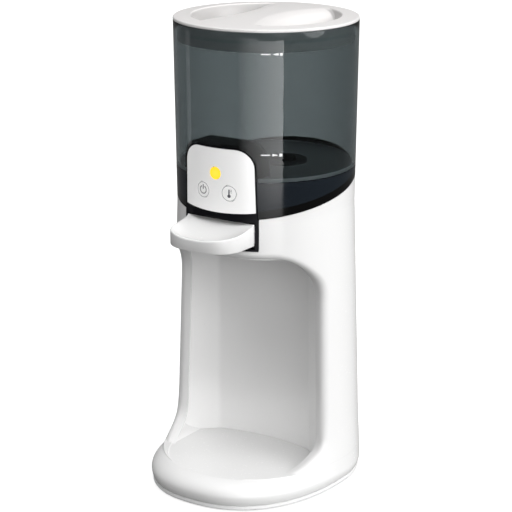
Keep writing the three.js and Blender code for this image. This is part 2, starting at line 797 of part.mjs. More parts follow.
function tankSeat() {
  const [low, high] = [seatHeight - 2 * overrun, seatHeight + overrun];
  const inset = shellWall + gap;
  const inner = barrel(inset + rimWall, low, high);
  const deckTop = seatHeight - deckDrop;
  const rimTop = aboveSlant(seatHeight + rimRise, seatSlope * rimSlopeShare);
  const cap = aboveSlant(tankFloorUnder - gap, 0);
  const tray = cut(
    shared(barrel(inset, low, high), aboveSlant(seatHeight - seatSkirtDepth)),
    rimTop,
    cap,
    shared(inner, aboveSlant(deckTop)),
    cut(inner, aboveSlant(deckTop - deckThickness)),
  );
  const head = panelHalfWidthFoot + pocketMargin + tankWall + slideGap;
  const headBack = pocketBackY + tankWall + slideGap;
  const front = box(-head, head, -footFrontReach, leverBackY + leverBlockRise, low, high);
  const frontRim = shared(box(-head, head, -footFrontReach, headBack, low, high), aboveSlant(deckTop));
  const frontWall = cut(box(-head, head, -footFrontReach, headBack, low, high),
    aboveSlant(deckTop - deckThickness));
  const behindBezel = cut(
    box(-bezelHalfWidth - gap, bezelHalfWidth + gap, -footFrontReach, lugBackY, low, high),
    barrel(bezelThickness + gap, low, high),
  );
  const pedestal = shared(
    box(-boardHalfWidth, boardHalfWidth, leverBackY + leverBlockRise, housingBackY - gap, low, high),
    cut(aboveSlant(deckTop - deckThickness / 2), aboveSlant(seatHeight + panelFootRise - gap)),
  );
  const socketBore = valveSpigotRadius + socketGap;
  const socketTop = tankFloorUnder - gap - valveFlangeThickness - 2 * gap;
  const onDeck = aboveSlant(deckTop - deckThickness / 2);
  const socket = shared(
    ring(socketBore, socketBore + socketWall, low, socketTop, valveX, valveY),
    onDeck,
  );
  const pin = shared(rod(plungerStemRadius, low, stemFoot - gap, valveX, valveY), onDeck);
  const nipple = rod(nippleRadius, portFoot, deckTopAt(valveY) - deckThickness / 2, portX, valveY);
  const bore = rod(nippleBore, portFoot - gap, high, portX, valveY);
  const open = cut(tray, front, frontRim, frontWall, behindBezel);
  return cut(joined(open, cut(pedestal, behindBezel), socket, pin, nipple), bore);
}

// Water path and heater

const boilerPortZ = (boilerFoot + bandFoot) / 2;
const nippleReach = nippleDrop;

function boiler() {
  const form = (inset) => {
    const [r, soft] = [boilerRadius - inset, boilerRound - inset];
    const [z0, z1] = [boilerFoot + inset, boilerTop - inset];
    const corner = soft * (1 - Math.SQRT1_2);
    return turned([
      [0, z0], [r - soft, z0], [r - corner, z0 + corner], [r, z0 + soft],
      [r, z1 - soft], [r - corner, z1 - corner], [r - soft, z1], [0, z1],
    ], midSteps, 0, boilerY);
  };
  const sheet = nippleBore / 2;
  const end = boilerRadius + nippleReach;
  const ports = [
    rodAlongX(nippleRadius, boilerRadius - sheet, end, boilerY, boilerPortZ),
    rod(nippleRadius, boilerTop - sheet, boilerTop + nippleReach, 0, boilerY),
  ];
  const bores = [
    rodAlongX(nippleBore, 0, end + gap, boilerY, boilerPortZ),
    rod(nippleBore, boilerFoot + overrun, boilerTop + nippleReach + gap, 0, boilerY),
  ];
  return cut(joined(form(0), ...ports), form(sheet), ...bores);
}

function boilerStand() {
  const foot = plateTop + gap;
  const neck = boilerRadius - boilerRound;
  return turned([
    [neck - standWall, foot], [neck + standFlange, foot], [neck + standFlange, foot + standWall],
    [neck, foot + 2 * standWall], [neck, boilerFoot - gap], [neck - standWall, boilerFoot - gap],
    [neck - standWall, foot],
  ], midSteps, 0, boilerY);
}

function heaterBand() {
  const bore = boilerRadius + gap;
  const outer = bore + bandThickness;
  const ears = box(-2 * bandThickness, 2 * bandThickness, boilerY - outer - bandEar, boilerY - bore - gap,
    bandFoot, bandTop);
  const split = box(-bandThickness, bandThickness, boilerY - outer - 2 * bandEar, boilerY,
    bandFoot - gap, bandTop + gap);
  return cut(joined(ring(bore, outer, bandFoot, bandTop, 0, boilerY), ears), split);
}

function thermalFuse() {
  const x = boilerRadius + gap + bandThickness + gap + fuseRadius;
  const foot = (bandFoot + bandTop - fuseLength) / 2;
  return rod(fuseRadius, foot, foot + fuseLength, -x, boilerY);
}

function temperatureSensor() {
  const foot = boilerTop + gap;
  const x = (boilerRadius - boilerRound + nippleRadius) / 2;
  return rod(sensorRadius, foot, foot + sensorHeight, -x, boilerY);
}

// Water runs from the tank's port down beside the boiler and in at its foot
function inletTube() {
  const start = portFoot - gap;
  const side = boilerRadius + tubeStandoff;
  const end = boilerRadius + nippleReach + gap;
  return tube([
    [portX, valveY, start],
    [portX, valveY, start - 2 * nippleDrop],
    [(portX + side) / 2, boilerY / 2, nookHeight],
    [side, boilerY, boilerTop],
    [side, boilerY, bandTop],
    [side, boilerY, boilerPortZ + 2 * nippleReach],
    [(side + end) / 2 + nippleReach / 2, boilerY, boilerPortZ + gap],
    [end, boilerY, boilerPortZ],
  ], tubeRadius, tubeBore, smallSteps);
}

const valveBlockFoot = nookHeight + linerWall + gap;
const valveBlockTop = valveBlockFoot + valveBlockHeight;
const valveBlockFront = spoutY - valveBlockDepth / 2;
const valveBlockBack = spoutY + valveBlockDepth / 2;
const valvePortZ = valveBlockFoot + valveBlockHeight / 2;

function outletTube() {
  const foot = boilerTop + nippleReach + gap;
  return tube([
    [0, boilerY, foot],
    [0, boilerY, foot + 2 * nippleReach],
    [0, boilerY - nippleReach, (foot + valvePortZ) / 2 + 2 * nippleReach],
    [0, boilerY / 2, valvePortZ],
    [0, 0, valvePortZ],
    [0, valveBlockBack + nippleReach + gap, valvePortZ],
  ], tubeRadius, tubeBore, pocketSteps);
}

function dispenseValve() {
  const w = valveBlockHalfWidth;
  const block = box(-w, w, valveBlockFront, valveBlockBack, valveBlockFoot, valveBlockTop);
  const coil = rodAlongX(coilRadius, -w - coilLength, -w + gap, spoutY, valveBlockFoot + coilRadius);
  const inletEnd = valveBlockBack + nippleReach;
  const inlet = carried(circle(0, valvePortZ, nippleRadius), valveBlockBack - gap, inletEnd);
  const bores = joined(
    carried(circle(0, valvePortZ, nippleBore), spoutY, valveBlockBack + overrun),
    rod(spoutBore, valveBlockFoot - gap, valvePortZ, 0, spoutY),
  );
  return cut(joined(block, coil, inlet), bores);
}

function spoutNozzle() {
  const top = nookHeight + linerWall;
  const tip = nookHeight - spoutDrop;
  return turned([
    [spoutBore, tip], [spoutTipRadius, tip], [spoutRadius, tip + spoutDrop / 2], [spoutRadius, top],
    [spoutBore, top], [spoutBore, tip],
  ], midSteps, 0, spoutY);
}

// Control tower

// Front outline of the panel, grown all round: sides that lean in and round upper corners
function panelFront(grow, foot = waistHeight - overrun) {
  const lean = (panelHalfWidthTop - panelHalfWidthFoot) / (panelTopHeight - waistHeight);
  const halfAt = (z) => panelHalfWidthFoot + lean * (z - waistHeight) + grow;
  const radius = panelCorner + grow;
  const top = panelTopHeight + grow;
  const half = halfAt(top - radius);
  const corner = arcPoints(half - radius, top - radius, radius, 0, Math.PI / 2, arcSteps);
  const right = [[halfAt(foot), foot], ...corner];
  return flat([...right, ...mirrored(right)]);
}

const panelSlant = seatHeight + panelFootRise;
const controlBand = [waistHeight - overrun, bodyTopHeight];

function behindFront(shape, grow, from, to) {
  return shared(carried(shape, from, to), aboveSlant(panelSlant + grow));
}

function controlPanel() {
  const plate = cut(
    shared(behindFront(panelFront(0), 0, -footFrontReach, pocketBackY), barrel(0, ...controlBand)),
    barrel(panelThickness, ...controlBand),
  );
  const holes = [
    circle(-buttonX, buttonHeight, buttonRadius + gap, midSteps),
    circle(buttonX, buttonHeight, buttonRadius + gap, midSteps),
    circle(0, lightHeight, lightRadius + gap, midSteps),
  ].map((hole) => carried(hole, -footFrontReach, pocketBackY));
  return cut(plate, ...holes);
}

function controlHousing() {
  const margin = pocketMargin - slideGap;
  const form = shared(
    behindFront(panelFront(margin), 0, -footFrontReach, housingBackY),
    barrel(0, ...controlBand),
  );
  const panelSeat = cut(
    carried(panelFront(gap), -footFrontReach, housingBackY),
    barrel(panelThickness + gap, ...controlBand),
  );
  const hollowBack = housingBackY - housingWall;
  const hollow = behindFront(panelFront(-housingWall), housingWall, -footFrontReach, hollowBack);
  const pegs = [boardFoot + pegInset, boardTop - pegInset].flatMap((z) =>
    [-pegX, pegX].map((x) => carried(circle(x, z, pegRadius), boardY + gap, housingBackY - gap)),
  );
  return joined(cut(form, panelSeat, hollow), ...pegs);
}

function controlBoard() {
  return box(-boardHalfWidth, boardHalfWidth, boardY - boardThickness, boardY, boardFoot, boardTop);
}

const switchBackY = boardY - boardThickness - gap;
const switchFrontY = switchBackY - switchDepth;

function panelSwitch(x) {
  const half = switchSize / 2;
  const block = box(x - half, x + half, switchFrontY, switchBackY, buttonHeight - half, buttonHeight + half);
  const boreEnd = switchFrontY + switchBoreDepth;
  const bore = carried(circle(x, buttonHeight, switchBore), switchFrontY - gap, boreEnd);
  return cut(block, bore);
}

function panelButton(x) {
  const back = -bodyRadius(buttonHeight) + capDepth + buttonTravel;
  const cap = shared(
    carried(circle(x, buttonHeight, buttonRadius, midSteps), -footFrontReach, back),
    barrel(0, ...controlBand),
  );
  const stem = carried(circle(x, buttonHeight, stemRadius), back - gap, switchFrontY + stemReach);
  return joined(cap, stem);
}

function statusLight() {
  const lens = carried(circle(0, lightHeight, lightRadius, midSteps), -footFrontReach, switchBackY);
  return shared(lens, barrel(0, ...controlBand));
}

// Lever and its frame

const openingHalf = leverHalfWidth + leverGap;
const openingTop = leverBackHeight + leverGap;

function leverBezel() {
  const [low, high] = [bezelFoot, waistHeight + overrun];
  const block = box(-bezelHalfWidth, bezelHalfWidth, -footFrontReach, housingBackY, low, high);
  const plate = cut(
    shared(block, barrel(0, 0, high)),
    barrel(bezelThickness, 0, high),
    aboveSlant(panelSlant - gap),
  );
  const opening = box(-openingHalf, openingHalf, -footFrontReach, 0, bezelFoot + leverSill, openingTop);
  const front = -bodyRadius(openingTop);
  const wedge = widened(flat([
    [front - bezelChamfer, openingTop - gap],
    [front + bezelChamfer, openingTop - gap],
    [front - bezelChamfer, openingTop + bezelChamfer * 2],
  ]), -openingHalf, openingHalf);
  const lugs = [-1, 1].map((side) => {
    const [a, b] = [side * openingHalf, side * bezelHalfWidth].sort((p, q) => p - q);
    return shared(
      box(a, b, -footFrontReach, lugBackY, bezelFoot + leverSill, lugTop),
      barrel(bezelThickness / 2, 0, high),
    );
  });
  const pinHole = rodAlongX(pinRadius + gap, -footFrontReach, footFrontReach, pinY, pinHeight);
  const besidePanel = cut(
    aboveSlant(seatHeight),
    carried(panelFront(pocketMargin - slideGap, bezelFoot), -footFrontReach, 0),
  );
  return cut(joined(cut(plate, opening, wedge), ...lugs), pinHole, besidePanel);
}

const sideShares = [0.5, 1];
const backShares = [-0.75, -0.5, -0.25, 0, 0.25, 0.5, 0.75];

// Plan of the paddle: straight sides that round into a broad nose
function paddleOutline() {
  const nose = Array.from({ length: smallSteps + 1 }, (_, i) => {
    const angle = (Math.PI * i) / smallSteps;
    const power = 2 / leverCornerPower;
    const x = Math.sign(Math.cos(angle)) * Math.abs(Math.cos(angle)) ** power * leverHalfWidth;
    return [x, leverCornerY + (leverFrontY - leverCornerY) * Math.sin(angle) ** power];
  });
  const sides = sideShares.map((share) => leverCornerY + (leverBackY - leverCornerY) * share);
  const left = sides.map((y) => [-leverHalfWidth, y]);
  const right = sides.map((y) => [leverHalfWidth, y]).reverse();
  const back = backShares.map((share) => [leverHalfWidth * share, leverBackY]);
  return [...nose, ...left, ...back, ...right];
}

const paddleShare = (y) => Math.min(Math.max((leverBackY - y) / (leverBackY - leverFrontY), 0), 1);
const paddleRim = (y) =>
  leverBackHeight
  - leverSideDrop * paddleShare(y) ** leverSidePower
  - leverNoseDrop * paddleShare(y) ** leverNosePower;
const paddleDish = (y) =>
  leverBackHeight - (leverBackHeight - leverDishFront) * (1 - (1 - paddleShare(y)) ** 2);
const dishShares = [0.9, 0.78, 0.64, 0.46, 0.24];

// The scooped paddle: a flat foot, an outer wall up to the rim, then rings that sink into the dish
function paddle() {
  const outline = paddleOutline();
  const level = (share, height) =>
    outline.map(([x, y]) => {
      const v = dishCentreY + (y - dishCentreY) * share;
      return new THREE.Vector3(x * share, v, height(v, share));
    });
  const sunk = (y, share) => {
    const rise = Math.min(share / leverRimShare, 1) ** leverDishPower;
    return paddleDish(y) + (paddleRim(y) - paddleDish(y)) * rise;
  };
  return lofted([
    level(1, () => leverFoot),
    level(1, (y) => paddleRim(y)),
    level(leverRimShare, (y) => paddleRim(y)),
    ...dishShares.map((share) => level(share, sunk)),
  ]);
}

function lever() {
  const half = leverHalfWidth - gap;
  const foot = leverFoot + leverBlockRise;
  const block = box(-half, half, leverBackY - leverBlockRise, leverBlockBackY, foot, leverBlockTop);
  const web = box(-half, half, leverBlockBackY - gap, pinY,
    pinHeight - webHalfThickness, pinHeight + webHalfThickness);
  const hub = rodAlongX(hubRadius, -half, half, pinY, pinHeight);
  const tongue = box(-tongueHalfWidth, tongueHalfWidth, pinY, tongueEndY,
    pinHeight - tongueThickness / 2, pinHeight + tongueThickness / 2);
  const bore = rodAlongX(pinRadius + gap, -footHalfWidth, footHalfWidth, pinY, pinHeight);
  return cut(joined(paddle(), block, web, hub, tongue), bore);
}

const leverPin = () => rodAlongX(pinRadius, -bezelHalfWidth, bezelHalfWidth, pinY, pinHeight);

// A round wire wound about an upright axis
class Coil extends THREE.Curve {
  constructor(radius, z0, z1, turns) {
    super();
    Object.assign(this, { radius, z0, z1, turns });
  }

  getPoint(share, target = new THREE.Vector3()) {
    const angle = 2 * Math.PI * this.turns * share;
    const z = this.z0 + (this.z1 - this.z0) * share;
    return target.set(this.radius * Math.cos(angle), this.radius * Math.sin(angle), z);
  }
}

function coilSpring(x, y, z0, z1, radius, wire, turns) {
  const path = new Coil(radius - wire / 2, z0 + wire / 2, z1 - wire / 2, turns);
  const section = circle(0, 0, wire / 2, wireSides);
  const geometry = new THREE.ExtrudeGeometry(section, { steps: arcSteps * turns, extrudePath: path });
  return solid(geometry.translate(x, y, 0));
}

function leverSpring() {
  const foot = nookHeight + linerWall + gap;
  const top = leverFoot + leverBlockRise - gap;
  return coilSpring(0, springY, foot, top, springRadius, springWire, springTurns);
}

const microTop = slantAt(microY - microLength / 2) - deckDrop - deckThickness - gap;
const microFoot = microTop - microHeight;

function leverSwitch() {
  const [w, l, b] = [microWidth / 2, microLength / 2, microButtonWidth / 2 + gap];
  const block = box(-w, w, microY - l, microY + l, microFoot, microTop);
  const boreTop = microFoot + microBoreDepth;
  return cut(block, box(-b, b, microButtonY - b, microButtonY + b, microFoot - gap, boreTop));
}

function switchButton() {
  const b = microButtonWidth / 2;
  const foot = pinHeight + tongueThickness / 2 + gap;
  return box(-b, b, microButtonY - b, microButtonY + b, foot, microFoot + microButtonSink);
}

// Tank

function pocketSpace(grow) {
  const front = panelFront(pocketMargin + grow, waistHeight - 2 * overrun);
  return carried(front, -footFrontReach, pocketBackY + grow);
}

function tankShell() {
  const outer = shared(barrel(0, waistHeight - overrun, tankTopHeight), aboveSlant(seatHeight + gap));
  const inside = barrel(tankWall, tankFloorTop, tankTopHeight + gap);
  const under = barrel(tankWall, waistHeight - 2 * overrun, tankFloorUnder);
  const hollow = cut(joined(inside, under), pocketSpace(tankWall));
  const capTop = tankFloorTop + valveCapRise;
  const cap = rod(valveCapRadius, tankFloorUnder, capTop, valveX, valveY, midSteps);
  const hole = rod(valveBarrelRadius + gap, tankFloorUnder - gap, capTop + gap, valveX, valveY, midSteps);
  return cut(joined(cut(outer, pocketSpace(0), hollow), cap), hole);
}

const throatTop = spigotFoot + valveThroatLength;
const seatTop = throatTop + valveThroatLength;
const barrelTop = tankFloorTop + valveBarrelRise;
const headFoot = seatTop + plungerHeadLift;
const headTop = headFoot + plungerHeadHeight;

function valveBody() {
  const flangeTop = tankFloorUnder - gap;
  const flangeFoot = flangeTop - valveFlangeThickness;
  return turned([
    [valveLipRadius, barrelTop], [valveBarrelRadius, barrelTop], [valveBarrelRadius, flangeTop],
    [valveFlangeRadius, flangeTop], [valveFlangeRadius, flangeFoot], [valveSpigotRadius, flangeFoot],
    [valveSpigotRadius, spigotFoot], [valveThroatRadius, spigotFoot], [valveThroatRadius, throatTop],
    [valveBoreRadius, seatTop], [valveBoreRadius, barrelTop - valveLipHeight],
    [valveLipRadius, barrelTop - valveLipHeight], [valveLipRadius, barrelTop],
  ], midSteps, valveX, valveY);
}

function valvePlunger() {
  const head = valveBoreRadius - slideGap;
  return turned([
    [0, stemFoot], [plungerStemRadius, stemFoot], [plungerStemRadius, headFoot - valveThroatLength],
    [head, headFoot], [head, headTop], [0, headTop],
  ], smallSteps, valveX, valveY);
}

function valveSpring() {
  const top = barrelTop - valveLipHeight - gap;
  return coilSpring(valveX, valveY, headTop + gap, top, valveSpringRadius, valveSpringWire, valveSpringTurns);
}

function valveSeal() {
  const bore = valveSpigotRadius + gap;
  const foot = spigotFoot + valveThroatLength;
  return ring(bore, bore + sealSection, foot, foot + sealHeight, valveX, valveY);
}

// Lid

const lidFoot = tankTopHeight + gap;
const lidSkirtRadius = bodyRadius(lidFoot) - tankWall - slideGap;
const lidSealFoot = lidFoot - lidSkirtDepth / 2 - lidSealHeight / 2;
const crownShares = [0, 0.45, 0.75];
const crownAt = (r) => bodyTopHeight + lidCrown * (1 - (r / bodyTopRadius) ** 2);

// The crown from its middle out to a radius, lowered
const crownLine = (radius, drop) =>
  [...crownShares, 1].map((share) => [share * radius, crownAt(share * radius) - drop]);

function lidShape() {
  const corner = lidEdgeRound * (1 - Math.SQRT1_2);
  const grooveRadius = lidSkirtRadius - sealSection;
  const grooveTop = lidSealFoot + lidSealHeight + gap;
  const grooveFoot = lidSealFoot - gap;
  const skirtFoot = lidFoot - lidSkirtDepth;
  const block = turned([
    ...crownLine(bodyTopRadius - lidEdgeRound, 0),
    [bodyTopRadius - corner, bodyTopHeight - corner],
    [bodyTopRadius, bodyTopHeight - lidEdgeRound],
    [bodyTopRadius, lidFoot], [lidSkirtRadius, lidFoot],
    [lidSkirtRadius, grooveTop], [grooveRadius, grooveTop],
    [grooveRadius, grooveFoot], [lidSkirtRadius, grooveFoot],
    [lidSkirtRadius, skirtFoot], [0, skirtFoot],
  ], roundSteps);
  const hollowRadius = grooveRadius - lidSkirtWall;
  const hollow = turned(
    [...crownLine(hollowRadius, lidShell), [hollowRadius, skirtFoot - gap], [0, skirtFoot - gap]],
    hiddenSteps,
  );
  const everyOther = pocketLevelShares.filter((_, i) => i % 2 === 0);
  const bowls = [-1, 1].map((side) => lidPocket(side, lidShell, everyOther));
  return cut(block, cut(hollow, ...bowls), lidPocket(-1, 0), lidPocket(1, 0));
}

// Levels of a finger pocket as shares: how far the bar side and the outer side come in, and the depth
const pocketLevelShares = [
  [0, 0, 0],
  [0.2, 0.1, 0.06],
  [0.45, 0.26, 0.18],
  [0.68, 0.48, 0.38],
  [0.84, 0.7, 0.64],
  [0.93, 0.86, 0.86],
  [1, 1, 1],
];

// A scooped finger pocket between the central bar and the rim, grown by the shell outside it
function lidPocket(side, grow, levels = pocketLevelShares) {
  const outline = (barX, outer, z) => {
    const barAt = (y) => barX + y ** 2 / (2 * lidBarArc);
    let reach = outer;
    for (let i = 0; i < roundSteps; i += 1) {
      reach -= (barAt(reach) - Math.sqrt(Math.max(outer ** 2 - reach ** 2, 0))) / arcSteps;
      reach = Math.min(reach, outer);
    }
    const turns = Array.from({ length: pocketSteps + 1 }, (_, i) => (Math.PI * i) / pocketSteps);
    const along = turns.map((turn) => -reach * Math.cos(turn));
    const near = along.map((y) => new THREE.Vector3(side * barAt(y), y, z));
    const far = along.map((y) => new THREE.Vector3(side * Math.sqrt(Math.max(outer ** 2 - y ** 2, 0)), y, z));
    return [...near, ...far.reverse().slice(1, -1)];
  };
  const rings = levels.map(([bar, rim, depth]) =>
    outline(lidBarHalfWidth - grow + lidPocketBarRun * bar, lidPocketRadius + grow - lidPocketRimRun * rim,
      bodyTopHeight + lidCrown - lidCrown * (1 - depth) / 2 - lidPocketDepth * depth - grow),
  );
  const above = rings[0].map((p) => p.clone().setZ(bodyTopHeight + overrun));
  return lofted([above, ...rings]);
}

function lidSeal() {
  const bore = lidSkirtRadius - sealSection + gap;
  const outer = bodyRadius(lidSealFoot) - tankWall - gap;
  return ring(bore, outer, lidSealFoot, lidSealFoot + lidSealHeight, 0, 0, roundSteps);
}

// Assembly

add("outer_housing", outerHousing(), "shell");
add("nook_liner", nookLiner(), "liner");
add("base_plate", basePlate(), "plate");
Object.entries(padPlaces).forEach(([place, [x, y]]) => add(`foot_${place}`, footPad(x, y), "rubber"));
Object.entries(screwPlaces).forEach(([place, [x, y]]) => add(`screw_${place}`, baseScrew(x, y), "steel"));
add("power_board", powerBoard(), "board");
add("cord_gland", cordGland(), "rubber");
add("tank_seat", tankSeat(), "black");
add("boiler_stand", boilerStand(), "black");
add("boiler", boiler(), "steel");
add("heater_band", heaterBand(), "heater");
add("thermal_fuse", thermalFuse(), "steel");
add("temperature_sensor", temperatureSensor(), "steel");
add("inlet_tube", inletTube(), "silicone");
add("outlet_tube", outletTube(), "silicone");
add("dispense_valve", dispenseValve(), "black");
add("spout_nozzle", spoutNozzle(), "silicone");
add("control_housing", controlHousing(), "black");
add("control_panel", controlPanel(), "shell");
add("control_board", controlBoard(), "board");
add("power_switch", panelSwitch(-buttonX), "black");
add("temperature_switch", panelSwitch(buttonX), "black");
add("status_light", statusLight(), "amber");
add("power_button", panelButton(-buttonX), "shell");
add("temperature_button", panelButton(buttonX), "shell");
add("lever_bezel", leverBezel(), "black");
add("lever", lever(), "shell");
add("lever_pin", leverPin(), "steel");
add("lever_spring", leverSpring(), "steel");
add("lever_switch", leverSwitch(), "black");
add("switch_button", switchButton(), "black");
add("tank_shell", tankShell(), "smoke");
add("valve_body", valveBody(), "black");
add("valve_seal", valveSeal(), "silicone");
add("valve_plunger", valvePlunger(), "steel");
add("valve_spring", valveSpring(), "steel");
add("lid", lidShape(), "lid");
add("lid_seal", lidSeal(), "silicone");

export default warmer;
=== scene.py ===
import json
import math
from functools import partialmethod

import bmesh
import bpy
import numpy as np
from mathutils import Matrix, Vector


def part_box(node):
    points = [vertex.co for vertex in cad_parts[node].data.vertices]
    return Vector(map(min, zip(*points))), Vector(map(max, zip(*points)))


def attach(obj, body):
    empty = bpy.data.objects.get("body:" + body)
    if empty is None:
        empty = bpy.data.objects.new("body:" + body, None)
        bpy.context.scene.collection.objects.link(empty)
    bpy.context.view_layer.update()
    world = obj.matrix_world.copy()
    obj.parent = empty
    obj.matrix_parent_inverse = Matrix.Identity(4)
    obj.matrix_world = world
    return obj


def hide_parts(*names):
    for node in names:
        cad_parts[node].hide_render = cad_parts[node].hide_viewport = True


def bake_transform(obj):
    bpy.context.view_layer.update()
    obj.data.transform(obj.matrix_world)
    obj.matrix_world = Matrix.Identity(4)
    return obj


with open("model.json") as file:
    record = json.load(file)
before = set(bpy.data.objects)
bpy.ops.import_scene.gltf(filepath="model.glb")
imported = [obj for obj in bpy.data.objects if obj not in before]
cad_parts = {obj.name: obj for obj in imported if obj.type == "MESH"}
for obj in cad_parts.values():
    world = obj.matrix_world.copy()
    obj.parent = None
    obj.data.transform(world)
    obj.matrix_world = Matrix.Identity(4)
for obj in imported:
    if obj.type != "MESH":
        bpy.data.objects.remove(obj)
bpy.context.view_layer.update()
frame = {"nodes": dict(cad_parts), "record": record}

bodyOf = {}
for bodyName, held in frame["record"]["behaviour"]["bodies"].items():
    for node in held:
        bodyOf[node] = bodyName
slotOf = {part["node"]: part["material_slot"] for part in frame["record"]["subparts"]}
print("frame loaded:", len(frame["nodes"]), "nodes")

# Sizes are in millimetres about the tower's upright axis, which stands behind the frame's origin
millimetre = 0.001
towerBack = 13.7
sameSpot = 0.000002  # points nearer than this, in metres, are merged
stand = {
    "footHalfWidth": 71.15, "footFront": 98.18, "footRear": 70.78, "footPower": 2.35,
    "towerFoot": 70.8, "waist": 64.43, "waistHeight": 207.0, "top": 66.2, "topHeight": 340.0,
    "under": 4.3, "underInset": 1.3, "widest": 10.0, "floor": 20.0, "shoulder": 16.0,
    "flareTop": 58.0, "flarePower": 3.0, "wall": 2.6, "seat": 219.3, "slope": 0.215,
}


# Counts of even steps: from 0 to 1, through a quarter of a circle, and round a full circle
def evenly(count):
    return np.linspace(0, 1, count)


def quarterTurn(count):
    return np.linspace(0, np.pi / 2, count)


def fullTurn(count):
    return np.linspace(0, 2 * np.pi, count, endpoint=False)


# Points from their coordinates, any of which may be one number for all
def stacked(*axes):
    return np.stack(np.broadcast_arrays(*axes), axis=-1)


# Smooth step: 3 s^2 - 2 s^3 of the share s of the way from low to high
def smooth(low, high, value):
    share = np.clip((value - low) / (high - low), 0.0, 1.0)
    return share * share * (3.0 - 2.0 * share)


# Radius of the round body: two straight cones that meet at the waist
def bodyRadius(z):
    s = stand
    below = s["towerFoot"] + (s["waist"] - s["towerFoot"]) * z / s["waistHeight"]
    rise = (z - s["waistHeight"]) / (s["topHeight"] - s["waistHeight"])
    return np.where(z < s["waistHeight"], below, s["waist"] + (s["top"] - s["waist"]) * rise)


# Radius of the foot's outline: a superellipse ahead of the axis, an ellipse behind it
def footRadius(angle):
    ahead = np.cos(angle) > 0
    power = np.where(ahead, stand["footPower"], 2.0)
    reach = np.where(ahead, stand["footFront"], stand["footRear"])
    across = np.abs(np.sin(angle) / stand["footHalfWidth"]) ** power
    along = np.abs(np.cos(angle) / reach) ** power
    return (across + along) ** (-1.0 / power)


# The foot's side drawn in: a parabola below its widest height, a quarter circle above it
def footInset(z):
    s = stand
    fall = np.clip((s["widest"] - z) / (s["widest"] - s["under"]), 0.0, 1.0)
    rise = np.clip((z - s["widest"]) / (s["floor"] - s["widest"]), 0.0, 1.0)
    return s["underInset"] * fall**2 + s["shoulder"] * (1.0 - np.sqrt(1.0 - rise**2))


# Radius of the stand: the tower plus a cubic flare that reaches the foot's outline
def standRadius(angle, z):
    s = stand
    tower = bodyRadius(z)
    fall = 1.0 - np.clip((z - s["widest"]) / (s["flareTop"] - s["widest"]), 0.0, 1.0)
    flared = tower + (footRadius(angle) - tower) * fall ** s["flarePower"]
    shoulder = footRadius(angle) - footInset(z)
    under = np.where(z < s["widest"], 0.0, flared)
    return np.where(z > s["floor"], flared, np.maximum(under, shoulder))


# A point at an angle from the front, a radius and a height
def onRing(angle, radius, z):
    return stacked(radius * np.sin(angle), -radius * np.cos(angle), z)


# Height of the slanted seat between the body and the tank, at a depth
def slantAt(y):
    return stand["seat"] + stand["slope"] * y


# Points spread evenly by length along a line through the given points
def spread(line, count):
    line = np.asarray(line, float)
    run = np.concatenate([[0.0], np.cumsum(np.linalg.norm(np.diff(line, axis=0), axis=1))])
    return stacked(*(np.interp(np.linspace(0, run[-1], count), run, axis) for axis in line.T))


# A right half and its mirror image, from the left foot over the middle to the right foot
def bothSides(right):
    return np.concatenate([right * np.array([-1.0, 1.0]), right[-2::-1]])


# A mesh gathered from grids of points: each grid is joined to its neighbours
class Skin:
    def __init__(self):
        self.points = []
        self.faces = []
        self.count = 0

    def keep(self, points):
        flat = np.asarray(points, float).reshape(-1, 3)
        self.points.append(flat)
        self.count += len(flat)
        return self.count - len(flat)

    # Rows and columns may close on themselves; an open end row may be shut by a fan to its middle
    def grid(self, points, closeRows=False, closeColumns=False, shut=(False, False)):
        rows, columns = points.shape[:2]
        base = self.keep(points)
        i = np.arange(rows if closeRows else rows - 1)[:, None]
        j = np.arange(columns if closeColumns else columns - 1)[None, :]
        nextI, nextJ = (i + 1) % rows, (j + 1) % columns
        corners = [i * columns + j, i * columns + nextJ, nextI * columns + nextJ, nextI * columns + j]
        quads = stacked(*corners).reshape(-1, 4) + base
        self.faces += quads.tolist()
        for row, wanted in zip((0, rows - 1), shut):
            if wanted:
                centre = self.keep(points[row].mean(axis=0))
                rim = base + row * columns + np.arange(columns)
                fan = stacked(rim, np.roll(rim, -1), centre)
                self.faces += fan.tolist()

    # A wall between two grids of one size: both faces, and the edges between them but for a seam's
    def slab(self, outer, inner, seam=None):
        rows, columns = outer.shape[:2]
        across = columns - 1
        base = self.count
        turn = len(self.faces) + (rows - 1) * across
        self.grid(np.concatenate([outer, inner[::-1]]), closeRows=True)
        if seam is not None:
            kept = [face for j, face in enumerate(self.faces[turn:turn + across]) if not seam[j]]
            self.faces[turn:turn + across] = kept
        for column in (0, columns - 1):
            front = base + np.arange(rows) * columns + column
            back = base + (2 * rows - 1 - np.arange(rows)) * columns + column
            strip = stacked(front[:-1], front[1:], back[1:], back[:-1])
            self.faces += strip.tolist()

    # A closed profile of radius and height carried round an upright axis
    def turned(self, profile, steps, x, y):
        profile = np.asarray(profile, float)
        angle = fullTurn(steps)
        ring = onRing(angle[None, :], profile[:, :1], profile[:, 1:]) + np.array([x, y, 0.0])
        self.grid(ring, closeRows=True, closeColumns=True)

    def mesh(self, name, crease):
        points = np.concatenate(self.points) + np.array([0.0, towerBack, 0.0])
        mesh = bpy.data.meshes.new(name)
        mesh.from_pydata((points * millimetre).tolist(), [], self.faces)
        return tidied(mesh, crease, turnOut=True)


# Doubles merged, faces turned out on request, and shading smooth between edges sharper than the crease
def tidied(mesh, crease, turnOut=False):
    shell = bmesh.new()
    shell.from_mesh(mesh)
    bmesh.ops.remove_doubles(shell, verts=shell.verts, dist=sameSpot)
    if turnOut:
        bmesh.ops.recalc_face_normals(shell, faces=shell.faces)
    shell.to_mesh(mesh)
    shell.free()
    mesh.shade_smooth()
    mesh.set_sharp_from_angle(angle=math.radians(crease))
    return mesh


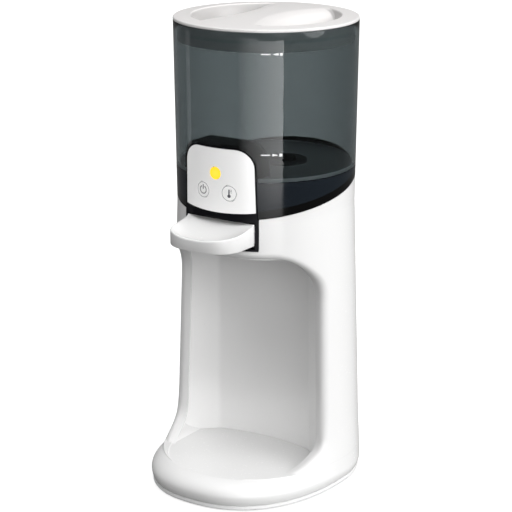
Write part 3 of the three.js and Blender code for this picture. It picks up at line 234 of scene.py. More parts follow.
# A finished mesh as a piece: its finish, its body, its slot and the nodes that it stands for
def settle(mesh, name, body, slot, nodes=(), finish=None):
    piece = bpy.data.objects.new(name, mesh)
    bpy.context.scene.collection.objects.link(piece)
    mesh.materials.clear()
    mesh.materials.append(finish or finishes[slot])
    if body:
        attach(piece, body)
    if nodes:
        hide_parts(*nodes)
    return piece


# A spring squeezes between its own body and the one named here: its first turns, then its last ones.
# It rides on neither, and further down its mesh is only baked in place
springEnds = {
    "lever_spring": ("lever", (0.0, -0.0383, 0.1800), (0.0, -0.0383, 0.1880)),
    "valve_spring": ("valve_plunger", (0.0150, 0.0147, 0.2365), (0.0150, 0.0147, 0.2335)),
}
carriedLook = {"crease": 30.0, "nearness": 0.985, "step": 0.5}


# A node's own form with doubles merged; what lies on the round body gets the cone's own normals
def carryOver(node, onBody=False, finish=None):
    mesh = frame["nodes"][node].data.copy()
    mesh.name = node + "_skin"
    tidied(mesh, carriedLook["crease"])
    if onBody:
        followBody(mesh)
    body = None if node in springEnds else bodyOf[node]
    return settle(mesh, node + "_skin", body, slotOf[node], [node], finish)


# Normals of the cones r(z): outwards along the radius and down by the cone's slope
def followBody(mesh):
    corners = np.empty(len(mesh.loops), int)
    mesh.loops.foreach_get("vertex_index", corners)
    points = np.empty(len(mesh.vertices) * 3)
    mesh.vertices.foreach_get("co", points)
    points = points.reshape(-1, 3)[corners] / millimetre - np.array([0.0, towerBack, 0.0])
    normals = np.empty(len(mesh.loops) * 3)
    mesh.corner_normals.foreach_get("vector", normals)
    normals = normals.reshape(-1, 3)
    sizes = np.empty(len(mesh.polygons), int)
    mesh.polygons.foreach_get("loop_total", sizes)
    faceNormals = np.empty(len(mesh.polygons) * 3)
    mesh.polygons.foreach_get("normal", faceNormals)
    faceNormals = np.repeat(faceNormals.reshape(-1, 3), sizes, axis=0)
    step = carriedLook["step"]
    slope = (bodyRadius(points[:, 2] + step) - bodyRadius(points[:, 2] - step)) / (2 * step)
    radial = np.column_stack([points[:, :2] / np.hypot(points[:, 0], points[:, 1])[:, None], -slope])
    radial /= np.linalg.norm(radial, axis=1)[:, None]
    facing = np.sum(faceNormals * radial, axis=1)
    near = np.abs(facing) > carriedLook["nearness"]
    normals[near] = radial[near] * np.sign(facing[near])[:, None]
    mesh.normals_split_custom_set(normals.tolist())


# Outer housing: a wall wrapped round the tower between the nook's mouth and the top edge
housing = {
    "mouthGrow": 1.4, "round": (6.2, 4.4), "narrowOver": (150.0, 177.0), "narrowUnder": (24.0, 60.0),
    "lipWiden": 0.15, "return": 9.0, "returnStep": 2.0, "backDepth": 6.0, "startHeight": 18.6,
    "startDip": 0.8, "tuck": 0.2, "tuckFade": (-0.6, 0.4), "notchHalf": 31.3, "notchFoot": 184.0,
    "notchMiddle": 195.0, "cornerHeight": 152.0, "overHeight": 170.0, "shoulderShare": 1.3, "sideShare": 0.94,
    "mouthMiddle": 95.0, "scaleHeight": 100.0, "sideSteps": 48, "topSteps": 40, "lineSteps": 600,
    "rimSteps": 80, "spans": (56, 60, 14, 26), "rows": 40, "roundRows": 9, "crease": 38.0,
}
nook = {
    "height": 176.5, "topHalf": 63.6, "footHalf": 65.6, "cornerWidth": 25.4, "cornerHeight": 50.0,
    "cornerPower": 2.4, "footCornerWidth": 14.5, "footCornerHeight": 22.0, "back": 3.2, "backRadius": 132.0,
    "creaseX": 40.0, "sideTurn": math.radians(41.7), "creaseRadius": 9.0, "edgeBlend": 5.0,
    "arcReach": 100.0, "rounds": 12,
}
creaseY = nook["back"] - nook["backRadius"] + math.sqrt(nook["backRadius"] ** 2 - nook["creaseX"] ** 2)


# Nook's right side from the front: a quarter ellipse at the floor, a leaning side and a rounder quarter
def nookSide(grow, steps):
    n = nook
    turn = quarterTurn(steps)
    footX, topX = n["footHalf"] - n["footCornerWidth"], n["topHalf"] - n["cornerWidth"]
    footZ, topZ = stand["floor"] + n["footCornerHeight"], n["height"] - n["cornerHeight"]
    low = stacked(footX + (n["footCornerWidth"] + grow) * np.sin(turn),
                  footZ - (n["footCornerHeight"] + grow) * np.cos(turn))
    power = 2.0 / n["cornerPower"]
    high = stacked(topX + (n["cornerWidth"] + grow) * np.cos(turn) ** power,
                   topZ + (n["cornerHeight"] + grow) * np.sin(turn) ** power)
    return low, high


# The smaller of two values, with the change from one to the other drawn out over a width
def softLeast(a, b, width):
    near = np.maximum(width - np.abs(a - b), 0.0) / width
    return np.minimum(a, b) - near**2 * width / 4


# The mouth's edge on the stand: where the front outline or the side wall, whichever is nearer, comes out
def mouthEdge(line, grow):
    n = nook
    x, z = line[:, 0], line[:, 1]
    offset = n["creaseX"] * math.sin(n["sideTurn"]) + creaseY * math.cos(n["sideTurn"]) + grow
    angle = np.full(len(x), np.pi / 2)
    for _ in range(n["rounds"]):
        radius = standRadius(angle, z)
        bySide = np.pi / 2 - n["sideTurn"] + np.arcsin(offset / radius)
        angle = softLeast(np.arcsin(np.minimum(x / radius, 1.0)), bySide, n["edgeBlend"] / radius)
    return stacked(angle, z)


def outerHousing():
    h = housing
    low, high = nookSide(h["mouthGrow"], h["sideSteps"])
    topX = np.linspace(high[-1, 0], 0, h["topSteps"])[1:]
    topLine = stacked(topX, high[-1, 1])
    line = spread(np.concatenate([low, high, topLine]), h["lineSteps"])
    edge = mouthEdge(line, h["mouthGrow"])
    notchAngle = math.asin(h["notchHalf"] / float(bodyRadius(h["notchMiddle"])))

    def overMouth(share):
        away = np.abs(edge[:, 0] - notchAngle * share)
        return np.argmin(np.where(edge[:, 1] < h["overHeight"], np.inf, away))

    # Knots that tie the mouth's edge to the corners of the wall's outer boundary
    cornerAt = np.argmin(np.abs(edge[:, 1] - h["cornerHeight"]))
    knots = [0, cornerAt, overMouth(h["shoulderShare"]), overMouth(h["sideShare"]), len(edge) - 1]
    around = np.linspace(np.pi, notchAngle, h["rimSteps"])
    rim = slantAt(-bodyRadius(stand["seat"]) * np.cos(around))
    outerSpans = [
        [(np.pi, h["startHeight"]), (np.pi, rim[0])],
        stacked(around, rim),
        [(notchAngle, rim[-1]), (notchAngle, h["notchFoot"])],
        [(notchAngle, h["notchFoot"]), (0.0, h["notchFoot"])],
    ]
    # Angles count as lengths at one height, so that the points spread evenly over the surface
    scale = np.array([bodyRadius(h["scaleHeight"]), 1.0])
    inner, outer = [], []
    for k, count in enumerate(h["spans"]):
        part = spread(edge[knots[k]:knots[k + 1] + 1] * scale, count + 1) / scale
        wall = spread(np.asarray(outerSpans[k]) * scale, count + 1) / scale
        last = 0 if k == len(h["spans"]) - 1 else 1
        inner.append(part[:len(part) - last])
        outer.append(wall[:len(wall) - last])
    inner, outer = np.concatenate(inner), np.concatenate(outer)
    onSeam = np.isclose(outer[:-1, 0], np.pi) & np.isclose(outer[1:, 0], np.pi)
    inner, outer = bothSides(inner), bothSides(outer)
    onSeam = np.concatenate([onSeam, onSeam[::-1]])
    way = np.gradient(inner * scale, axis=0)
    way /= np.linalg.norm(way, axis=1)[:, None]
    outward = stacked(-way[:, 1], way[:, 0])
    middle = np.array([0.0, h["mouthMiddle"]])
    outward *= np.sign(np.sum(outward * (inner * scale - middle), axis=1))[:, None]

    # A point widened along the surface away from the mouth and sunk below it
    def near(widen, depth):
        radius = standRadius(inner[:, 0], inner[:, 1])
        angle = inner[:, 0] + outward[:, 0] * widen / radius
        z = np.maximum(inner[:, 1] + outward[:, 1] * widen, h["startHeight"] - h["startDip"])
        return angle, standRadius(angle, z) - depth, z

    # The rounding, a quarter of a circle, is wide at the sides and narrow over the mouth and at its foot
    wide, narrow = h["round"]
    pinch = smooth(*h["narrowOver"], inner[:, 1]) + 1.0 - smooth(*h["narrowUnder"], inner[:, 1])
    reach = wide + (narrow - wide) * pinch
    lipTurn = np.arccos(1.0 - h["lipWiden"] / reach)
    lipDepth = reach * (1.0 - np.sin(lipTurn))
    rows = [(h["lipWiden"], depth) for depth in (h["return"], (h["return"] + lipDepth) / 2)]
    for share in evenly(h["roundRows"]):
        turn = lipTurn + (np.pi / 2 - lipTurn) * share
        rows.append((reach * (1.0 - np.cos(turn)), reach * (1.0 - np.sin(turn))))
    backWiden = h["lipWiden"] + stand["wall"]
    deep = h["backDepth"]
    backRows = [(backWiden, h["return"]), (backWiden, h["return"] - h["returnStep"])]
    backRows += [(backWiden + (reach - backWiden) * share, deep + (stand["wall"] - deep) * share)
                 for share in evenly(h["roundRows"])]
    front = [onRing(*near(*row)) for row in rows]
    back = [onRing(*near(*row)) for row in backRows]
    angle, _, z = near(reach, 0.0)
    start = stacked(angle, z)
    fade = [stand["floor"] + shift for shift in h["tuckFade"]]
    for share in evenly(h["rows"])[1:]:
        at = start + (outer - start) * share
        radius = standRadius(at[:, 0], at[:, 1])
        sunk = h["tuck"] * (1.0 - smooth(*fade, at[:, 1]))
        front.append(onRing(at[:, 0], radius - sunk, at[:, 1]))
        back.append(onRing(at[:, 0], radius - stand["wall"], at[:, 1]))
    skin = Skin()
    skin.slab(np.array(front), np.array(back), seam=onSeam)
    footShell(skin)
    return skin.mesh("outer_housing_skin", h["crease"])


# The foot: its outline's profile carried round from the under edge over the shoulder to the sunk floor
footShape = {
    "border": 13.0, "sunk": 0.6, "lipDrop": 0.18, "soft": 0.35,
    "softRows": ((0.0, 0.0), (0.3, 0.25), (1.0, 1.0), (3.0, 1.0)), "floorShares": (0.9, 0.7, 0.45, 0.2),
    "insideShares": (0.2, 0.6, 0.9), "underLevels": 7, "levels": 26, "insideSkip": 3, "columns": 220,
}


def footShell(skin):
    f = footShape
    angle = fullTurn(f["columns"])
    shares = np.sin(quarterTurn(f["levels"]))
    levels = np.concatenate([np.linspace(stand["under"], stand["widest"], f["underLevels"])[:-1],
                             stand["widest"] + (stand["floor"] - stand["widest"]) * shares])
    border = footRadius(angle) - f["border"]
    lipZ = stand["floor"] - f["lipDrop"]
    rows = []
    for z in levels:
        radius = standRadius(angle, z)
        rows.append(onRing(angle, np.maximum(radius, border), np.where(radius < border, min(z, lipZ), z)))
    top = rows[-1][:, 2]
    floorZ = stand["floor"] - f["sunk"]
    for inset, drop in f["softRows"]:
        rows.append(onRing(angle, border - f["soft"] * inset, top + (floorZ - top) * drop))
    rows += [onRing(angle, border * share, floorZ) for share in f["floorShares"]]
    inside = [onRing(angle, border * share, floorZ - stand["wall"]) for share in f["insideShares"]]
    for z in levels[::-f["insideSkip"]]:
        radius = np.maximum(standRadius(angle, z), border) - stand["wall"]
        lowered = z - stand["wall"] * (z > stand["widest"])
        inside.append(onRing(angle, radius, np.maximum(lowered, stand["under"])))
    skin.grid(np.array(rows), closeColumns=True, shut=(False, True))
    skin.grid(np.array(inside), closeColumns=True, shut=(True, False))
    skin.grid(np.array([inside[-1], rows[0]]), closeColumns=True)


# Nook liner: for each height the plan's curve between the side limits, then flat to the mouth
liner = {
    "setback": 6.6, "foot": 19.45, "footTop": 30.0, "wall": 2.0, "exitRange": (40.0, 90.0), "halvings": 40,
    "outlineSteps": 200, "footRows": 10, "sideRows": 34, "cornerRows": 34, "roofRows": 14,
    "backColumns": 18, "creaseColumns": 12, "sideColumns": 16, "flatColumns": 12, "crease": 30.0,
}


# Plan's curve: the back's flat arc, a small arc that turns into the side, and the side wall's straight line
def planCurve(x, grow):
    n = nook
    centreY = n["back"] - n["backRadius"]
    along = np.array([math.cos(n["sideTurn"]), -math.sin(n["sideTurn"])])
    out = np.array([math.sin(n["sideTurn"]), math.cos(n["sideTurn"])])
    start = np.array([n["creaseX"], creaseY]) - out * n["creaseRadius"]
    fromArc = start - np.array([0.0, centreY])
    half = fromArc @ along
    rest = fromArc @ fromArc - (n["backRadius"] - n["creaseRadius"]) ** 2
    middle = start - along * (half + math.sqrt(half**2 - rest))
    meet = math.atan2(middle[1] - centreY, middle[0])
    meetX = middle[0] + (n["creaseRadius"] + grow) * math.cos(meet)
    wall = middle + out * (n["creaseRadius"] + grow)
    arc = centreY + np.sqrt((n["backRadius"] + grow) ** 2 - np.minimum(x, n["arcReach"]) ** 2)
    inCrease = np.clip((n["creaseRadius"] + grow) ** 2 - (x - middle[0]) ** 2, 0.0, None)
    side = wall[1] - math.tan(n["sideTurn"]) * (x - wall[0])
    y = np.where(x < meetX, arc, np.where(x < wall[0], middle[1] + np.sqrt(inCrease), side))
    return y, meetX, wall[0]


# Half widths by height, bounded by the stand, with the plan's curve across them and its mirror image
def nookSurface(grow):
    look = liner
    low, high = nookSide(grow, look["outlineSteps"])
    cornerFoot = nook["height"] - nook["cornerHeight"]
    heights = np.concatenate([np.linspace(look["foot"], look["footTop"], look["footRows"])[:-1],
                              np.linspace(look["footTop"], cornerFoot, look["sideRows"])[:-1]])
    outline = np.concatenate([low, high])
    sideX = np.interp(heights, outline[:, 1], outline[:, 0])
    corner = spread(high, look["cornerRows"])
    roof = stacked(corner[-1, 0] * (1.0 - evenly(look["roofRows"])[1:]), corner[-1, 1])
    levels = np.concatenate([stacked(sideX, heights), corner, roof])
    half, z = levels[:, 0], levels[:, 1]

    def reach(angleAt):
        return standRadius(angleAt, z) - look["setback"]

    # Where the side wall leaves the stand, found by halving
    nearX, farX = (np.full(len(z), limit) for limit in look["exitRange"])
    for _ in range(look["halvings"]):
        middle = (nearX + farX) / 2
        y = planCurve(middle, grow)[0]
        outside = np.hypot(middle, y) > reach(np.arctan2(middle, -y))
        nearX, farX = np.where(outside, nearX, middle), np.where(outside, middle, farX)
    exitX = softLeast(half, nearX, nook["edgeBlend"] / 2)
    _, meetX, wallX = planCurve(0.0, grow)
    plan = np.concatenate([np.linspace(0, meetX, look["backColumns"])[:-1],
                           np.linspace(meetX, wallX, look["creaseColumns"])[:-1]])
    x = np.minimum(plan[None, :], exitX[:, None])
    beyond = wallX + (exitX[:, None] - wallX) * evenly(look["sideColumns"])[None, :]
    x = np.concatenate([x, np.where(exitX[:, None] > wallX, beyond, exitX[:, None])], axis=1)
    y = planCurve(x, grow)[0]
    # The flat stretch from the plan's curve to the mouth, where the front outline is the nearer limit
    frontAngle = np.arcsin(np.clip(exitX / reach(np.zeros_like(z)), 0, 1))
    for _ in range(nook["rounds"]):
        frontAngle = np.arcsin(np.clip(exitX / reach(frontAngle), 0, 1))
    frontY = np.minimum(-reach(frontAngle) * np.cos(frontAngle), y[:, -1])
    shares = evenly(look["flatColumns"])[1:]
    stretch = y[:, -1:] + (frontY[:, None] - y[:, -1:]) * shares[None, :]
    x = np.concatenate([x, np.repeat(exitX[:, None], len(shares), axis=1)], axis=1)
    y = np.concatenate([y, stretch], axis=1)
    level = np.repeat(z[:, None], x.shape[1], axis=1)
    right = np.stack([x, y, level], axis=-1)
    left = right[:, :0:-1] * np.array([-1.0, 1.0, 1.0])
    return np.concatenate([left, right], axis=1)


def nookLiner():
    skin = Skin()
    skin.slab(nookSurface(0.0), nookSurface(liner["wall"]))
    return skin.mesh("nook_liner_skin", liner["crease"])


# Tank: a wall with a slanted foot and an arch over the panel, a hood, a floor and a valve ring
tank = {
    "top": 337.7, "wall": 2.2, "gap": 0.3, "edge": 0.5, "edgeRows": 5, "wallRows": 20, "aroundSteps": 150,
    "panelFoot": 29.1, "panelTop": 28.0, "panelHeight": 256.0, "panelCorner": 13.0, "margin": 1.4,
    "footAt": (31.0, 206.0), "cornerSteps": 28, "sideSteps": 16, "topSteps": 20, "pocketBack": -46.0,
    "hoodRise": 1.0, "hoodRows": 7, "plateRise": 3.0, "plateRows": 8, "bite": 0.05, "lap": 0.02,
    "floorUnder": 233.45, "floorTop": 235.65, "floorSide": 0.1, "floorTurn": 1.0, "roundColumns": 24,
    "middleColumns": 30, "floorRows": 25, "valve": (15.0, 1.0), "ringRadius": 16.5, "ringHole": 8.9,
    "ringRise": 2.4, "ringBevel": 0.3, "ringSteps": 64, "boreRadius": 11.0, "boreSlack": 0.02, "crease": 40.0,
}


# Right half of the panel's front outline, grown: a leaning side, then a quarter circle, then the flat top
def panelOutline(grow, footZ):
    t = tank
    lean = (t["panelTop"] - t["panelFoot"]) / (t["panelHeight"] - stand["waistHeight"])
    radius = t["panelCorner"] + grow
    top = t["panelHeight"] + grow
    half = t["panelFoot"] + lean * (top - radius - stand["waistHeight"]) + grow
    footHalf = t["panelFoot"] + lean * (footZ - stand["waistHeight"]) + grow
    side = stacked(np.linspace(footHalf, half, t["sideSteps"])[:-1],
                   np.linspace(footZ, top - radius, t["sideSteps"])[:-1])
    turn = quarterTurn(t["cornerSteps"])
    corner = stacked(half - radius + radius * np.cos(turn), top - radius + radius * np.sin(turn))
    flatX = np.linspace(half - radius, 0, t["topSteps"])[1:]
    flat = stacked(flatX, top)
    return np.concatenate([side, corner, flat])


def tankShell():
    t = tank
    skin = Skin()
    soft = t["edge"]
    footX, footHeight = t["footAt"]
    footZ = float(slantAt(-np.sqrt(bodyRadius(footHeight) ** 2 - footX**2)) + t["gap"])
    arch = bothSides(panelOutline(t["margin"], footZ))
    archAngle = np.arcsin(arch[:, 0] / bodyRadius(arch[:, 1]))
    around = np.linspace(archAngle[-1], 2 * np.pi + archAngle[0], t["aroundSteps"])[1:-1]
    angle = np.concatenate([archAngle, around])
    slant = slantAt(-bodyRadius(stand["seat"]) * np.cos(around)) + t["gap"]
    bottom = np.concatenate([arch[:, 1], slant])
    rim = float(bodyRadius(t["top"]))

    def wallRow(share, sunk):
        z = bottom + (t["top"] - soft - bottom) * share
        return onRing(angle, bodyRadius(z) - sunk, z)

    def edgeRow(radius, turn):
        return onRing(angle, radius, t["top"] - soft + soft * math.sin(turn))

    shares = evenly(t["wallRows"])
    # Up the outside, over the soft top edge in two quarters of a circle, and down the inside
    rows = [wallRow(share, 0.0) for share in shares]
    rows += [edgeRow(rim - soft + soft * math.cos(turn), turn) for turn in quarterTurn(t["edgeRows"])[1:]]
    rows += [edgeRow(rim - t["wall"] + soft - soft * math.cos(turn), turn)
             for turn in np.linspace(np.pi / 2, 0, t["edgeRows"])]
    rows += [wallRow(share, t["wall"]) for share in shares[::-1][1:]]
    skin.grid(np.array(rows), closeRows=True, closeColumns=True)

    # Hood round the panel, from the wall's inside back to the pocket's rear
    def hoodGrid(grow):
        line = bothSides(panelOutline(grow, footZ + t["hoodRise"]))
        front = -np.sqrt((bodyRadius(line[:, 1]) - t["wall"] - t["bite"]) ** 2 - line[:, 0] ** 2)
        back = t["pocketBack"] + t["wall"] - t["lap"]
        return np.array([stacked(line[:, 0], front + (back - front) * share, line[:, 1])
                         for share in evenly(t["hoodRows"])])

    # Plate that closes the hood at the pocket's rear
    def plateGrid(y):
        line = bothSides(panelOutline(t["margin"] - t["lap"], footZ + t["plateRise"]))
        rise = line[:, 1] - footZ - t["plateRise"]
        return np.array([stacked(line[:, 0], y, footZ + t["plateRise"] + rise * share)
                         for share in evenly(t["plateRows"])])

    skin.slab(hoodGrid(t["margin"]), hoodGrid(t["margin"] + t["wall"]))
    skin.slab(plateGrid(t["pocketBack"]), plateGrid(t["pocketBack"] + t["wall"]))

    # Floor between the wall and the hood, cut straight behind the pocket
    reach = float(bodyRadius(t["floorTop"])) - t["wall"] - t["bite"]
    side = t["panelFoot"] + t["margin"] + t["wall"] + t["floorSide"]
    x = np.concatenate([-reach * np.cos(np.linspace(0, t["floorTurn"], t["roundColumns"])),
                        np.linspace(-side, side, t["middleColumns"]),
                        reach * np.cos(np.linspace(t["floorTurn"], 0, t["roundColumns"]))])
    x = np.sort(np.concatenate([x, [-side, side]]))
    far = np.sqrt(np.clip(reach**2 - x**2, 0, None))
    inPocket = (np.abs(x) < side) & ~np.isclose(np.abs(x), side)
    inPocket[np.flatnonzero(np.isclose(x, -side))[-1]] = True
    inPocket[np.flatnonzero(np.isclose(x, side))[0]] = True
    near = np.where(inPocket, t["pocketBack"] + t["wall"] + t["bite"], -far)
    y = near + (far - near) * evenly(t["floorRows"])[:, None]
    skin.slab(stacked(x, y, t["floorTop"]), stacked(x, y, t["floorUnder"]))
    foot, top = t["floorTop"] + t["bite"], t["floorTop"] + t["ringRise"]
    hole, outer, bevel = t["ringHole"], t["ringRadius"], soft * t["ringBevel"]
    skin.turned([(hole, foot), (outer, foot), (outer, top - soft), (outer - bevel, top - bevel),
                 (outer - soft, top), (hole + soft, top), (hole, top - soft)], t["ringSteps"], *t["valve"])
    return boredFloor(skin.mesh("tank_shell_skin", t["crease"]))


# Valve's opening in the floor: points within its radius go out to that radius, and the faces between them go
def boredFloor(mesh):
    shell = bmesh.new()
    shell.from_mesh(mesh)
    centre = Vector((tank["valve"][0], tank["valve"][1] + towerBack, 0.0)) * millimetre
    reach = tank["boreRadius"] * millimetre
    heights = [tank[key] * millimetre for key in ("floorTop", "floorUnder")]
    bored = set()
    for vert in shell.verts:
        offset = Vector((vert.co.x - centre.x, vert.co.y - centre.y, 0.0))
        away = min(abs(vert.co.z - z) for z in heights)
        if offset.length < reach and away < tank["boreSlack"] * millimetre:
            vert.co += offset.normalized() * (reach - offset.length)
            bored.add(vert)
    gone = [face for face in shell.faces if bored.issuperset(face.verts)]
    bmesh.ops.delete(shell, geom=gone, context="FACES")
    bmesh.ops.bridge_loops(shell, edges=[edge for edge in shell.edges if edge.is_boundary])
    shell.to_mesh(mesh)
    shell.free()
    mesh.set_sharp_from_angle(angle=math.radians(tank["crease"]))
    return mesh


# Level marks: strips of the body's cone, each from one angle and height to another, just proud of the wall
marks = {
    "levels": (323.4, 253.4), "dash": (30.0, 35.6), "dashHalf": 0.42, "sign": (37.0, 40.4), "signHalf": 1.0,
    "bar": (41.2, 43.0), "pointHalf": 0.05, "proud": 0.03, "thick": 0.12, "steps": 12, "crease": 60.0,
}


def levelMarks():
    m = marks
    skin = Skin()

    def strip(angles, halfStart, halfEnd, level):
        angle = np.radians(np.linspace(*angles, m["steps"]))
        half = np.linspace(halfStart, halfEnd, m["steps"])
        grids = []
        for proud in (m["proud"], m["proud"] - m["thick"]):
            z = np.array([level - half, level + half])
            grids.append(onRing(np.broadcast_to(angle, z.shape), bodyRadius(z) + proud, z))
        skin.slab(grids[0], grids[1])

    for level, rising in zip(m["levels"], (True, False)):
        strip(m["dash"], m["dashHalf"], m["dashHalf"], level)
        ends = (m["pointHalf"], m["signHalf"]) if rising else (m["signHalf"], m["pointHalf"])
        strip(m["sign"], *ends, level)
        strip(m["bar"], m["signHalf"], m["signHalf"], level)
    return skin.mesh("level_marks", m["crease"])


# Lid: each half is a grid from its finger pocket's bottom, up over the brim and out to the half disc's edge
lid = {
    "radius": 66.2, "crown": 2.2, "edge": 0.9, "foot": 338.0, "skirtDepth": 14.0, "skirtRadius": 63.44,
    "skirtWall": 3.2, "shell": 2.0, "pocketDepth": 10.0, "barHalf": 10.0, "pocketRadius": 54.0,
    "barArc": 102.0, "barRun": 21.0, "rimRun": 4.5, "bottomShares": (0.0, 0.3, 0.65), "bevel": 0.3,
    "skirtBevel": 0.4, "rounds": 80, "ease": 8, "steps": 60, "pocketRows": 26, "outRows": 14, "edgeRows": 8,
    "kernel": (0.25, 0.5, 0.25), "crease": 40.0,
}
# Shares of the pocket's run from the bar, run from the rim and depth, from its edge to its bottom
pocketStages = np.array([
    (0, 0, 0), (0.2, 0.1, 0.06), (0.45, 0.26, 0.18), (0.68, 0.48, 0.38), (0.84, 0.7, 0.64),
    (0.93, 0.86, 0.86), (1, 1, 1),
])


# Height of the lid's domed top, a parabola of the radius
def crownAt(radius):
    return stand["topHeight"] + lid["crown"] * (1.0 - (radius / lid["radius"]) ** 2)


# Right pocket's outline: a bar side x = b + y^2 / 2a and an arc of the outer radius, which meet at two ends
def pocketOutline(barX, outer, steps):
    reach = outer
    for _ in range(lid["rounds"]):
        missed = barX + reach**2 / (2 * lid["barArc"]) - math.sqrt(max(outer**2 - reach**2, 0))
        reach = min(reach - missed / lid["ease"], outer)
    turn = np.linspace(0, np.pi, steps + 1)
    y = -reach * np.cos(turn)
    bar = stacked(barX + y**2 / (2 * lid["barArc"]), y)
    end = math.asin(reach / outer)
    arc = np.linspace(end, -end, steps + 1)
    rim = stacked(outer * np.cos(arc), outer * np.sin(arc))
    return np.concatenate([bar[:-1], rim[:-1]])


# Rings from the pocket's bottom up its wall, then rows drawn straight out to the half disc's border
def lidHalf(side, drop, radius):
    d = lid
    steps = d["steps"]
    given, fine = (evenly(count) for count in (len(pocketStages), d["pocketRows"]))
    stages = stacked(*(np.interp(fine, given, column) for column in pocketStages.T))
    stages[1:-1] = stacked(*(np.convolve(column, d["kernel"], "valid") for column in stages.T))
    rings = []
    for bar, rim, depth in stages[::-1]:
        line = pocketOutline(d["barHalf"] + d["barRun"] * bar, d["pocketRadius"] - d["rimRun"] * rim, steps)
        reach = np.hypot(line[:, 0], line[:, 1])
        z = crownAt(reach) - d["pocketDepth"] * depth
        rings.append(stacked(*line.T, z - drop))
    line = pocketOutline(d["barHalf"], d["pocketRadius"], steps)
    first, half = rings[0], len(line) // 2
    # The bottom: the innermost outline drawn together onto its middle line
    middle = (first + np.roll(first[::-1], 1, axis=0)) / 2
    bottoms = [middle + (first - middle) * share for share in d["bottomShares"]]
    straight = stacked(0.0, np.linspace(-radius, radius, half + 1)[:-1])
    arc = np.linspace(np.pi / 2, -np.pi / 2, half + 1)[:-1]
    border = np.concatenate([straight, stacked(radius * np.cos(arc), radius * np.sin(arc))])
    out = []
    for share in evenly(d["outRows"])[1:]:
        at = line + (border - line) * share
        out.append(stacked(*at.T, crownAt(np.hypot(at[:, 0], at[:, 1])) - drop))
    grid = np.array(bottoms + rings + out)
    grid[..., 0] *= side
    return grid


# Both halves above and below, joined by the edge, the foot and the skirt as one profile carried round
def lidSkin():
    d = lid
    skin = Skin()
    inner = d["skirtRadius"] - d["skirtWall"]
    for side in (-1, 1):
        skin.grid(lidHalf(side, 0.0, d["radius"] - d["edge"]), closeColumns=True)
        skin.grid(lidHalf(side, d["shell"], inner), closeColumns=True)
    half = d["steps"]
    arc = np.linspace(np.pi / 2, -np.pi / 2, half + 1)[:-1]
    angle = np.concatenate([arc, arc + np.pi]) + np.pi / 2
    edge, rim = d["edge"], d["radius"] - d["edge"]
    top = stand["topHeight"]
    soft = [(rim + edge * math.sin(t), top - edge + (crownAt(rim) - top + edge) * math.cos(t))
            for t in quarterTurn(d["edgeRows"])]
    foot = d["foot"] - d["skirtDepth"]
    bevel, skirt, skirtBevel = d["bevel"], d["skirtRadius"], d["skirtBevel"]
    profile = soft + [
        (d["radius"], d["foot"] + bevel), (d["radius"] - bevel, d["foot"]), (skirt + bevel, d["foot"]),
        (skirt, d["foot"] - bevel), (skirt, foot + skirtBevel), (skirt - skirtBevel, foot),
        (inner + skirtBevel, foot), (inner, foot + skirtBevel), (inner, float(crownAt(inner)) - d["shell"]),
    ]
    profile = np.array([(float(r), float(z)) for r, z in profile])
    skin.grid(onRing(angle[None, :], profile[:, :1], profile[:, 1:]), closeColumns=True)
    return skin.mesh("lid_skin", d["crease"])


# Lever: outlines of the paddle shrunk towards the dish's centre, raised by the rim's and the dish's heights
lever = {
    "half": 28.2, "frontY": -93.0, "backY": -58.0, "cornerY": -71.0, "cornerPower": 2.6, "dishY": -70.3,
    "foot": 188.0, "backRise": 16.2, "dishRise": 5.4, "sideDrop": 6.2, "sidePower": 0.45, "noseDrop": 2.0,
    "nosePower": 12, "rimShare": 0.965, "dishPower": 4, "dishSizes": (0.95, 0.06, 22), "soft": 0.7,
    "footRun": 22, "bendRun": 75, "bendRise": 0.2, "rimRun": 28, "rimRows": 6,
    "cornerSteps": 73, "noseSteps": 90, "sideSteps": 11, "backSteps": 41, "crease": 35.0,
}
# Its arm: a block behind the paddle with a neck to the hub on the pin, and a tongue beyond it
arm = {
    "pin": (-43.0, 195.4), "hub": 4.4, "hubBevel": 0.3, "bore": 2.3, "half": 27.9, "endInset": 0.4,
    "endSize": 0.96, "front": -59.5, "middle": -52.5, "back": -46.0, "low": 1.5, "high": 10.6, "bevel": 0.5,
    "neckHalf": 3.0, "neckBack": 3.3, "tongueHalf": 4.0, "tongueHigh": 1.5, "tongueFoot": 3.2,
    "tongueEnd": (-24.6, -24.0), "tipSize": 0.85, "steps": 40,
}


# A superellipse round the nose, then straight sides and a straight back
def paddleOutline():
    v = lever
    turn = np.linspace(0, np.pi, v["cornerSteps"])
    power = 2 / v["cornerPower"]
    x = np.sign(np.cos(turn)) * np.abs(np.cos(turn)) ** power * v["half"]
    y = v["cornerY"] + (v["frontY"] - v["cornerY"]) * np.sin(turn) ** power
    nose = spread(stacked(x, y), v["noseSteps"])
    leftY = np.linspace(v["cornerY"], v["backY"], v["sideSteps"])[1:]
    left = stacked(-v["half"], leftY)
    backX = np.linspace(-v["half"], v["half"], v["backSteps"])[1:-1]
    back = stacked(backX, v["backY"])
    right = (left * np.array([-1.0, 1.0]))[::-1]
    return np.concatenate([nose, left, back, right])


